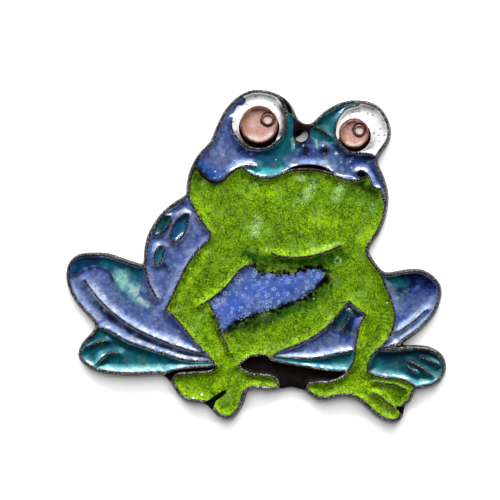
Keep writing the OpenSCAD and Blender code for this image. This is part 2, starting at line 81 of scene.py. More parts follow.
# ---------------------------------------------------------------- glass
GLASS_STEP = 0.17 * MM      # mesh size on the glass
EYE_STEP = 0.09 * MM        # on the whites of the eyes
PUPIL_STEP = 0.1 * MM       # and on the pupils
GLASS_LEVEL = GLASS_TOP - 0.32 * MM   # the glass in the middle of a field
CLIMB = 0.38 * MM           # how far the glass climbs a wall
CLIMB_WIDTH = 0.55 * MM     # and over what distance
TUCK = 0.04 * MM            # how far the glass runs into a wall's side
GLASS_WAVE = 0.03 * MM      # unevenness of the glass
SHADE_LOOK = 0.2 * MM       # how far north the painted shade and highlight look for a wall
SHADE_WIDTH = 1.1 * MM      # how far from a wall the painted shade and highlight reach
SHADE_DARK = 0.65           # how much darker the painted shade makes the glass against a northern wall
GLASS_TONE = 0.84           # depth of all the colours
GRAIN_RISE = 0.12 * MM      # how much fuller the green and the belly are filled
GRAIN_SHARE = 0.62          # and how much of the climb they keep
GLASS_FOOT = PLATE_TOP - 0.05 * MM    # the underside of the glass and of the rings

DRAWING_CENTRE = (0.4, -0.25)    # the drawing's own coordinates at the row's origin, mm


# ================================================================ numbers and noise
def place(x, y):
    """A point of the drawing, in millimetres, as metres in the row frame."""
    return np.array(((x - DRAWING_CENTRE[0]) * MM, (y - DRAWING_CENTRE[1]) * MM))


def linear(code):
    """The scene-linear colour of a six-digit colour code."""
    parts = [int(code[k:k + 2], 16) / 255 for k in (0, 2, 4)]
    return np.array([c / 12.92 if c <= 0.04045 else ((c + 0.055) / 1.055) ** 2.4 for c in parts])


def smooth(x):
    """0 below 0, 1 above 1, with an eased step between."""
    x = np.clip(x, 0, 1)
    return x * x * (3 - 2 * x)


def far_from(points, x, y):
    """Distances from a place of the drawing."""
    return np.linalg.norm(points - place(x, y), axis=1)


def spotted(points, spots, firmness):
    """1, or another share within reach of each spot: x, y and reach in mm, and the share."""
    share = np.ones(len(points))
    for x, y, reach, much in spots:
        share *= 1 + (much - 1) * smooth(firmness * (1 - far_from(points, x, y) / (reach * MM)))
    return share


def lattice(i, j, seed):
    """A repeatable number from 0 to 1 for each whole-number place."""
    n = (i * 374761393 + j * 668265263 + seed * 2147483647) & 0xFFFFFFFF
    n = ((n ^ (n >> 13)) * 1274126177) & 0xFFFFFFFF
    return ((n ^ (n >> 16)) & 0xFFFFFF) / float(0xFFFFFF)


def ripple(points, size, seed=0):
    """Smooth noise from -1 to 1 over a surface, with features of the given size."""
    p = points / size
    cell = np.floor(p).astype(np.int64)
    t = smooth(p - cell)
    i, j = cell[:, 0], cell[:, 1]
    low = lattice(i, j, seed) * (1 - t[:, 0]) + lattice(i + 1, j, seed) * t[:, 0]
    high = lattice(i, j + 1, seed) * (1 - t[:, 0]) + lattice(i + 1, j + 1, seed) * t[:, 0]
    return 2 * (low * (1 - t[:, 1]) + high * t[:, 1]) - 1


def ripples(points, size, seed=0):
    """Three octaves of that noise."""
    return sum(ripple(points, size / 2 ** k, seed + k) / 2 ** k for k in range(3)) / 1.75


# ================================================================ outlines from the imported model
def flat_faces(node, height):
    """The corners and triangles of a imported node's faces that lie at one height."""
    mesh = frame["nodes"][node].data
    mesh.calc_loop_triangles()
    points = np.array([v.co for v in mesh.vertices])
    triangles = np.array([t.vertices for t in mesh.loop_triangles])
    level = np.abs(points[:, 2] - height) < 0.005 * MM
    triangles = triangles[level[triangles].all(1)]
    keys = np.round(points[:, :2] / (0.0005 * MM)).astype(np.int64)
    _, first, back = np.unique(keys, axis=0, return_index=True, return_inverse=True)
    back = back.reshape(-1)
    triangles = back[triangles]
    sound = (triangles != np.roll(triangles, 1, 1)).all(1)
    return points[first, :2], triangles[sound]


def border(triangles):
    """The edges that belong to one triangle only, in the direction in which it runs."""
    edges = np.concatenate([triangles[:, [0, 1]], triangles[:, [1, 2]], triangles[:, [2, 0]]])
    whole = np.sort(edges, 1)
    _, back, count = np.unique(whole, axis=0, return_inverse=True, return_counts=True)
    return edges[count[back.reshape(-1)] == 1]


def outline(node, height):
    """A node's outline at one height, as the two ends of each stretch."""
    points, triangles = flat_faces(node, height)
    edges = border(triangles)
    return points[edges[:, 0]], points[edges[:, 1]]


def inside(points, start, end):
    """Which points lie inside an outline, holes left out."""
    found = np.zeros(len(points), bool)
    order = np.argsort(points[:, 1])
    lowest, highest = np.minimum(start[:, 1], end[:, 1]), np.maximum(start[:, 1], end[:, 1])
    for n in range(0, len(points), 1000):
        some = order[n:n + 1000]
        p = points[some]
        near = (lowest <= p[-1, 1]) & (highest > p[0, 1])
        a, b = start[near], end[near]
        y = p[:, 1:2]
        crosses = (a[:, 1] > y) != (b[:, 1] > y)
        rise = b[:, 1] - a[:, 1]
        rise = np.where(np.abs(rise) < 1e-12, 1e-12, rise)
        at = a[:, 0] + (y - a[:, 1]) / rise * (b[:, 0] - a[:, 0])
        found[some] = (crosses & (p[:, 0:1] < at)).sum(1) % 2 == 1
    return found


def cut_up(start, end, step):
    """The same outline in stretches no longer than step."""
    begins, ends = [], []
    for a, b in zip(start, end):
        n = max(1, math.ceil(np.linalg.norm(b - a) / step))
        along = a + (b - a) * np.linspace(0, 1, n + 1)[:, None]
        begins.append(along[:-1])
        ends.append(along[1:])
    return np.concatenate(begins), np.concatenate(ends)


def tree_of(points):
    """A tree that finds the nearest of some points, seen from above."""
    tree = KDTree(len(points))
    for n, p in enumerate(points):
        tree.insert((p[0], p[1], 0), n)
    tree.balance()
    return tree


class Nearness:
    """Distances to a set of outlines."""

    def __init__(self, start, end):
        self.tree = tree_of(cut_up(start, end, 0.04 * MM)[0])

    def __call__(self, points):
        return np.array([self.tree.find((x, y, 0))[2] for x, y in points])


def scatter(low, high, step, seed):
    """A slightly uneven three-way grid of points over a rectangle."""
    random = np.random.default_rng(seed)
    rows = np.arange(low[1], high[1], step * 0.866)
    columns = np.arange(low[0], high[0], step)
    x, y = np.meshgrid(columns, rows)
    x = x + (np.arange(len(rows)) % 2)[:, None] * step / 2
    grid = np.stack([x.ravel(), y.ravel()], 1)
    return grid + random.uniform(-0.18, 0.18, grid.shape) * step


def triangulate(start, end, extra):
    """Triangles over an outline's stretches and some loose points: (points, triangles)."""
    corners = [Vector(p) for p in np.concatenate([start, end, extra])]
    edges = [(n, n + len(start)) for n in range(len(start))]
    made = delaunay_2d_cdt(corners, edges, [], 0, 1e-7, False)
    points = np.array([tuple(v) for v in made[0]])
    triangles = np.array([f for f in made[2] if len(f) == 3])
    a, b, c = (points[triangles[:, k]] for k in range(3))
    turned = (b[:, 0] - a[:, 0]) * (c[:, 1] - a[:, 1]) < (b[:, 1] - a[:, 1]) * (c[:, 0] - a[:, 0])
    triangles[turned] = triangles[turned][:, ::-1]
    return points, triangles


def centres(points, triangles):
    return points[triangles].mean(1)


def cover(start, end, loose, edge_start, edge_end):
    """Triangles over stretches and loose points, only those inside an edge: (points, triangles)."""
    points, triangles = triangulate(start, end, loose)
    triangles = triangles[inside(centres(points, triangles), edge_start, edge_end)]
    used = np.unique(triangles)
    renumber = np.zeros(len(points), int)
    renumber[used] = np.arange(len(used))
    return points[used], renumber[triangles]


def outward(points, edges):
    """At each border point, the direction out of the surface."""
    out = np.zeros_like(points)
    along = points[edges[:, 1]] - points[edges[:, 0]]
    side = np.stack([along[:, 1], -along[:, 0]], 1)
    side /= np.maximum(np.linalg.norm(side, axis=1), 1e-12)[:, None]
    np.add.at(out, edges[:, 0], side)
    np.add.at(out, edges[:, 1], side)
    return out / np.maximum(np.linalg.norm(out, axis=1), 1e-12)[:, None]


# ================================================================ pieces
def linked(name, data):
    """An object in the scene."""
    thing = bpy.data.objects.new(name, data)
    bpy.context.scene.collection.objects.link(thing)
    return thing


def hung(name, mesh, material):
    """A mesh as a piece on the pendant's only body."""
    mesh.materials.append(material)
    thing = linked(name, mesh)
    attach(thing, "root")
    return thing


def piece(name, points, faces, material, slot, *nodes, tint=None, sharp=50):
    """Makes a mesh a piece of the pendant, with its material, body and the nodes it stands for."""
    mesh = bpy.data.meshes.new(name)
    mesh.from_pydata([tuple(p) for p in points], [], [tuple(f) for f in faces])
    mesh.validate()
    mesh.polygons.foreach_set("use_smooth", [True] * len(mesh.polygons))
    mesh.set_sharp_from_angle(angle=math.radians(sharp))
    if tint is not None:
        store = mesh.attributes.new("tint", "FLOAT_COLOR", "POINT")
        store.data.foreach_set("color", np.concatenate([tint, np.ones((len(tint), 1))], 1).ravel())
    thing = hung(name, mesh, material)
    if nodes:
        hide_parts(*nodes)
    return thing


GLASS_NODES = [n for n in frame["nodes"] if n not in ("cast_plate", "cast_walls", "eye_rings")]

wall_start, wall_end = outline("cast_walls", PLATE_TOP)
lug_start, lug_end = outline("cast_plate", WALL_TOP)
plate_start, plate_end = outline("cast_plate", 0)
glass_outlines = {n: outline(n, PLATE_TOP) for n in GLASS_NODES}


def on_metal_top(points):
    return inside(points, wall_start, wall_end) | inside(points, lug_start, lug_end)


def under_glass(points):
    found = np.zeros(len(points), bool)
    for start, end in glass_outlines.values():
        found |= inside(points, start, end)
    return found


def metal_border():
    """The outline of the walls and the lug together."""
    start, end = cut_up(
        np.concatenate([wall_start, lug_start]), np.concatenate([wall_end, lug_end]), 0.5 * MM
    )
    points, triangles = triangulate(start, end, np.zeros((0, 2)))
    edges = border(triangles[on_metal_top(centres(points, triangles))])
    return points[edges[:, 0]], points[edges[:, 1]]


top_start, top_end = metal_border()
to_wall = Nearness(top_start, top_end)


def casting(material):
    """Plate, walls and lug in one skin."""
    outer_start, outer_end = cut_up(plate_start, plate_end, 0.2 * MM)
    start, end = cut_up(top_start, top_end, 1.5 * WALL_STEP)
    along = end - start
    side = np.stack([along[:, 1], -along[:, 0]], 1) / np.linalg.norm(along, axis=1)[:, None]
    low, high = plate_start.min(0), plate_start.max(0)
    fine = scatter(low, high, WALL_STEP, SEED)
    on_top = on_metal_top(fine)
    fine = fine[on_top]
    fine = fine[to_wall(fine) > 0.5 * WALL_STEP]
    foot = []
    for away in FOOT_ROWS:
        ring = (start + end) / 2 + side * away
        foot.append(ring[to_wall(ring) > 0.85 * away])
    foot = np.concatenate(foot)
    bare = scatter(low, high, FLOOR_STEP, SEED + 1)
    bare = bare[~on_metal_top(bare) & ~under_glass(bare)]
    bare = bare[to_wall(bare) > 0.25 * MM]
    loose = np.concatenate([foot, bare])
    to_outer = Nearness(plate_start, plate_end)
    loose = loose[inside(loose, plate_start, plate_end)]
    loose = loose[to_outer(loose) > 0.04 * MM]
    points, triangles = cover(
        np.concatenate([start, outer_start]), np.concatenate([end, outer_end]),
        np.concatenate([fine, loose]), plate_start, plate_end,
    )

    away = to_wall(points)
    is_top = on_metal_top(points) & (away > 0.02 * MM)
    crown = WALL_TOP + WALL_WAVE * (ripples(points, 0.7 * MM, 3) - 0.5)
    short = np.clip(1 - away / WALL_ROUND, 0, 1)
    shoulder = crown - WALL_ROUND * (1 - np.sqrt(np.maximum(1 - short ** 2, 0)))
    foot_height = PLATE_TOP + 0.04 * MM * ripples(points, 0.6 * MM, 5)
    fall = np.exp(-((away / FILLET) ** 1.5))
    low_side = foot_height + (crown - WALL_ROUND - foot_height) * fall
    height = np.where(is_top, shoulder, low_side)

    rim = border(triangles)
    out = outward(points, rim)
    on_rim = np.unique(rim)
    bore_middle = lug_hole_middle()
    in_bore = np.linalg.norm(points - bore_middle, axis=1) < LUG_REACH
    height[on_rim] = np.where(in_bore[on_rim], crown[on_rim] - WALL_ROUND, PLATE_TOP - 0.1 * MM)

    spread = points[on_rim] - bore_middle
    spread /= np.linalg.norm(spread, axis=1)[:, None]
    burr = in_bore[on_rim] * BURR * smooth(spread @ BURR_WAY)
    levels = [
        (0.0, 1.1 * MM, 0.03, 0), (0.0, 0.65 * MM, 0.03, 1), (0.0, EDGE_ROUND, 0.02, 1),
        (0.35 * EDGE_ROUND, 0.3 * EDGE_ROUND, 0.0, 1), (EDGE_ROUND, 0.0, 0.0, 1),
    ]
    shape = [np.concatenate([points, height[:, None]], 1)]
    faces = [tuple(t) for t in triangles]
    before = {int(v): int(v) for v in on_rim}
    count = len(points)
    for inset, z, rough, flash in levels:
        ring = points[on_rim] - out[on_rim] * inset - flash * spread * burr[:, None]
        ring = ring + out[on_rim] * (rough * MM * (ripples(points[on_rim] + z, 0.8 * MM, 9) - 1))[:, None]
        shape.append(np.concatenate([ring, np.full((len(ring), 1), z)], 1))
        now = {int(v): count + n for n, v in enumerate(on_rim)}
        faces += [(before[a], now[a], now[b], before[b]) for a, b in rim.tolist()]
        before, count = now, count + len(on_rim)
    last = shape[-1]
    number = {v: n for n, v in enumerate(on_rim.tolist())}
    back_start = np.array([last[number[a], :2] for a, b in rim.tolist()])
    back_end = np.array([last[number[b], :2] for a, b in rim.tolist()])
    inner = scatter(low, high, BACK_STEP, SEED + 2)
    inner = inner[inside(inner, back_start, back_end)]
    inner = inner[Nearness(back_start, back_end)(inner) > 0.4 * BACK_STEP]
    back_points, back_faces = triangulate(back_start, back_end, inner)
    back_faces = back_faces[inside(centres(back_points, back_faces), back_start, back_end)]
    near = tree_of(last)
    first = count - len(on_rim)
    index, new = {}, []
    for n, p in enumerate(back_points):
        hit = near.find((p[0], p[1], 0))
        if hit[2] < 0.002 * MM:
            index[n] = first + hit[1]
        else:
            index[n] = count + len(new)
            z = BACK_WAVE * 0.5 * (1 + ripples(np.array([p]), 3 * MM, 12)[0])
            new.append((p[0], p[1], z))
    faces += [(index[c], index[b], index[a]) for a, b, c in back_faces.tolist()]
    shape.append(np.array(new))
    points = np.concatenate(shape)
    on_walls = smooth((points[:, 2] - WALL_TOP + 0.45 * MM) / (0.3 * MM))[:, None]
    return piece("casting", points, faces, material, "oxidised_metal",
                 "cast_plate", "cast_walls", tint=wear_and_glints(points[:, :2]) * on_walls, sharp=60)


WORN_AND_GLINTING = 0.45       # how far the casting's dark skin is worn through, and painted with glints, in most places
# Where it is worn, and painted with glints, more or less: x, y and reach in mm, and the share.
WEAR_AND_GLINTS = [
    (-6.4, 11, 3.2, 0.0), (-3.4, 12, 2.4, 0.2), (7, 17.6, 2.6, 0.0), (7.6, 15.1, 0.9, 0.3),
    (10.4, 15, 0.9, 0.3), (8.5, 12.3, 4, 0.5), (5, 21.6, 1.2, 0.3), (15.6, 11.4, 1.4, 0.4),
    (5.6, 21.6, 1.2, 1.6), (2.5, 23.2, 2.5, 1.5), (18.6, 20.6, 2.5, 1.7), (19.8, 17, 2, 1.7),
    (15.5, 22, 2, 1.4), (23, -13.3, 4.5, 1.9), (0.5, -17.3, 3.5, 2.4), (11, -18, 3.5, 2.4),
    (-8, -17, 3.5, 2.0), (10, 11.6, 4, 1.4), (-8, -21.3, 4, 1.6), (3, -19.5, 3, 1.5),
    (-15, -17.4, 4, 1.4),
]


def wear_and_glints(points):
    """How far the dark skin is worn through and painted with glints, as a tint."""
    return np.repeat(WORN_AND_GLINTING * spotted(points, WEAR_AND_GLINTS, 1.6)[:, None], 3, 1)


def lug_hole_middle():
    """The middle of the hanging hole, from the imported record."""
    for mount in frame["record"]["mounts"]:
        if mount["name"] == "hang_hole":
            return np.array(mount["pos_m"][:2])
    raise KeyError("hang_hole")


# ================================================================ glass fields
# Places where the glass climbs its walls less, or more, and its painted highlight along southern walls is
# weaker or stronger with it: x, y and reach in mm, and the share.
CALM = [
    (3, 11.6, 3.4, 0.85), (8.5, 12.6, 3.6, 0.75), (-7.4, 11.6, 2.4, 0.0), (-5, 10.8, 2.2, 0.0),
    (-7, 1, 2.5, 0.6), (-24, -2, 3.5, 0.5), (10.4, 17.8, 2.4, 0.15), (13, 12.4, 2.2, 0.45),
    (-12.2, 1.6, 1.5, 0.4), (7.6, 15.1, 0.9, 0.0), (10.4, 15, 0.9, 0.0), (-12.9, 3.9, 1.8, 0.1),
    (-10.3, 4.2, 2, 0.2), (-22, -12.2, 2, 0.1), (-20, -13.6, 2, 0.1), (-23, -14.6, 1.4, 0.3),
    (21.6, -15.6, 2.4, 0.1), (24.2, -15.2, 2.4, 0.1), (25.6, -16.6, 1.4, 0.4), (12.6, -10, 2.2, 0.1),
]
PIT_RADIUS, PIT_DEPTH = 0.13 * MM, 0.09 * MM
# Pits in the whites of the eyes, mm.
PITS = [
    (17.3, 20.6), (16.5, 19.9), (17.2, 19.7), (14.4, 20.1), (15.3, 20.2), (18.3, 17.7), (17.4, 17.1),
    (18.1, 16.8), (18.9, 16.8), (16.9, 16.3), (16.9, 15.7), (18.1, 15.9), (13.9, 19.6), (18.8, 18.9),
    (0.5, 22.4), (2.5, 22.4), (3.2, 21.2), (-0.8, 21.3), (4.4, 18.8), (4.2, 17.6), (-2.2, 17.4),
]
# Raised places: x, y, radius and height in mm. The first two are the nostrils.
BUMPS = [(7.6, 15.1, 0.5, 0.3), (10.4, 15.0, 0.55, 0.34)]


def glass_height(points, away, level=None):
    level = GLASS_LEVEL if level is None else level
    swell = GLASS_WAVE * ripples(points, 1.3 * MM, 21) + 0.012 * MM * ripples(points, 0.45 * MM, 27)
    calm = 1 - np.exp(-away / (0.3 * MM))
    climb = CLIMB * spotted(points, CALM, 1.5) * np.exp(-((away / CLIMB_WIDTH) ** 1.15))
    bump = np.zeros(len(points))
    for x, y, r, h in BUMPS:
        near = far_from(points, x, y) / (r * MM)
        bump += h * MM * np.exp(-(near ** 3))
    return level + climb * (1 + 0.12 * ripples(points, 0.5 * MM, 31)) + swell * (0.4 + 0.6 * calm) + bump


def grain_height(points, away):
    """The green and the belly: flatter at the walls and rougher all over."""
    rough = 0.022 * MM * ripples(points, 0.42 * MM, 35) * (1 - np.exp(-away / (0.2 * MM)))
    smooth_top = glass_height(points, away)
    return GLASS_LEVEL + GRAIN_RISE + (smooth_top - GLASS_LEVEL) * GRAIN_SHARE + rough


def field(name, material, slot, paint, height=glass_height, step=GLASS_STEP):
    """One field of glass: a hollowed top, straight sides and a flat back."""
    start, end = glass_outlines[name]
    fine_start, fine_end = cut_up(start, end, step)
    low, high = start.min(0), start.max(0)
    grid = scatter(low, high, step, SEED + 3)
    grid = grid[inside(grid, start, end)]
    grid = grid[Nearness(start, end)(grid) > 0.5 * step]
    points, triangles = cover(fine_start, fine_end, grid, start, end)
    rim = border(triangles)
    out = outward(points, rim)
    away = to_wall(points)
    top = height(points, np.where(away < ON_WALL, 0, away))
    on_rim = np.unique(rim)
    at_wall = np.zeros(len(points), bool)
    at_wall[on_rim] = away[on_rim] < ON_WALL
    moved = points + out * TUCK * at_wall[:, None]
    shape = [
        np.concatenate([moved, top[:, None]], 1),
        np.concatenate([moved[on_rim], np.full((len(on_rim), 1), GLASS_FOOT)], 1),
    ]
    under = {int(v): len(points) + n for n, v in enumerate(on_rim)}
    faces = [tuple(t) for t in triangles]
    faces += [(a, under[a], under[b], b) for a, b in rim.tolist()]
    faces += flat_back(moved, rim, under)
    colours = paint(points, away)
    colours = np.concatenate([colours, colours[on_rim]])
    return piece(name + "_glass", np.concatenate(shape), faces, material, slot, name, tint=colours)


def flat_back(points, rim, under):
    """Triangles that close a field's underside, on its border points."""
    start, end = points[rim[:, 0]], points[rim[:, 1]]
    made, triangles = triangulate(start, end, np.zeros((0, 2)))
    triangles = triangles[inside(centres(made, triangles), start, end)]
    border_points = np.array(sorted(under))
    near = tree_of(points[border_points])
    number = [under[int(border_points[near.find((x, y, 0))[1]])] for x, y in made]
    back = [(number[c], number[b], number[a]) for a, b, c in triangles.tolist()]
    return [f for f in back if len(set(f)) == 3]


# ================================================================ colours
INK = {name: linear(code) for name, code in {
    "periwinkle": "485a8c", "lavender": "7078a0", "slate": "405074", "blue": "2c4484",
    "deep_blue": "102c70", "navy": "061034", "steel": "344c78", "pale_blue": "8ea8ce", "teal": "065660",
    "dark_teal": "022c38", "cyan": "28a4b0", "aqua": "4c9c90", "cream": "b8c8b0", "sea_blue": "08446a",
    "grey_teal": "3c5c66", "green": "6a9200", "yellow_green": "90bc00", "dark_green": "285800",
    "deep_green": "0c2c08", "olive": "405402", "ochre": "68680c", "haze": "98bc6c", "black": "060505",
    "brown": "5a2f1e", "white": "d4d4d4", "lilac_grey": "9c98a4", "grey": "6a6868",
    "dark_grey": "3c3a3a", "pink": "cea096", "ochre_pink": "b07c50", "cream_pink": "e8d6ca",
    "rust": "6e3420", "dark_rust": "30100c", "ice": "c0d0ee", "ice_cyan": "8cd8e2", "mint": "7cb4a8",
    "bright_blue": "2c50b0", "sapphire": "124a90",
}.items()}


def run(points, colours, name, amount, width, *spots):
    """Lets a colour run into the paint: a soft band of the given width along a line of places."""
    colour, width = INK[name], width * MM
    spots = [place(*s) for s in spots]
    if len(spots) == 1:
        spots = spots * 2
    near = np.full(len(points), np.inf)
    for a, b in zip(spots[:-1], spots[1:]):
        along = b - a
        size = max(along @ along, 1e-18)
        t = np.clip(((points - a) @ along) / size, 0, 1)
        near = np.minimum(near, np.linalg.norm(points - a - t[:, None] * along, axis=1))
    edge = 1 - near / width + 0.45 * ripples(points, max(0.9 * MM, 0.5 * width), 40 + int(width / MM * 10))
    share = amount * smooth(edge)
    return colours * (1 - share[:, None]) + colour * share[:, None]


def round_about(x, y, r):
    """Places on a circle, for a run that goes round something."""
    return [(x + r * math.cos(k * math.pi / 6), y + r * math.sin(k * math.pi / 6)) for k in range(13)]


def fringe(points, colours, name, amount, width, node):
    """Stains the glass along another field's outline, in ragged tufts."""
    near = Nearness(*glass_outlines[node])(points)
    tufts = 0.9 * ripple(points, 0.32 * MM, 51) + 0.35 * ripples(points, 1.1 * MM, 52)
    share = (amount * smooth(1.6 * (1 - near / (width * MM) + tufts)))[:, None]
    return colours * (1 - share) + INK[name] * share


def wash(base, points):
    return np.tile(INK[base], (len(points), 1))


def paint_wall_shade_and_highlight(points, away, colours, highlight_ink, highlight_share):
    """Painted shade, darker where a northern wall is near, and painted highlight, paler towards the
    highlight colour where a southern wall is near.
    """
    north = to_wall(points + (0, SHADE_LOOK))
    lean = np.clip((away - north) / SHADE_LOOK, -1, 1) * smooth(1.15 - away / SHADE_WIDTH)
    calm = spotted(points, CALM, 1.5)
    painted_highlight = (highlight_share * np.clip(-lean, 0, 1) * calm)[:, None]
    painted_shade = (1 - SHADE_DARK * np.clip(lean, 0, 1))[:, None]
    return (GLASS_TONE * colours * (1 - painted_highlight) + INK[highlight_ink] * painted_highlight) * painted_shade


def painter(base, *runs, highlight_ink="ice", highlight_share=0.42):
    """A paint function: a base colour, the runs in it, and the colour of the highlight painted along its
    southern walls; it also paints shade along its northern walls.
    """
    def paint(points, away):
        colours = wash(base, points)
        for r in runs:
            colours = (fringe if isinstance(r[3], str) else run)(points, colours, *r)
        return paint_wall_shade_and_highlight(points, away, colours, highlight_ink, highlight_share)
    return paint


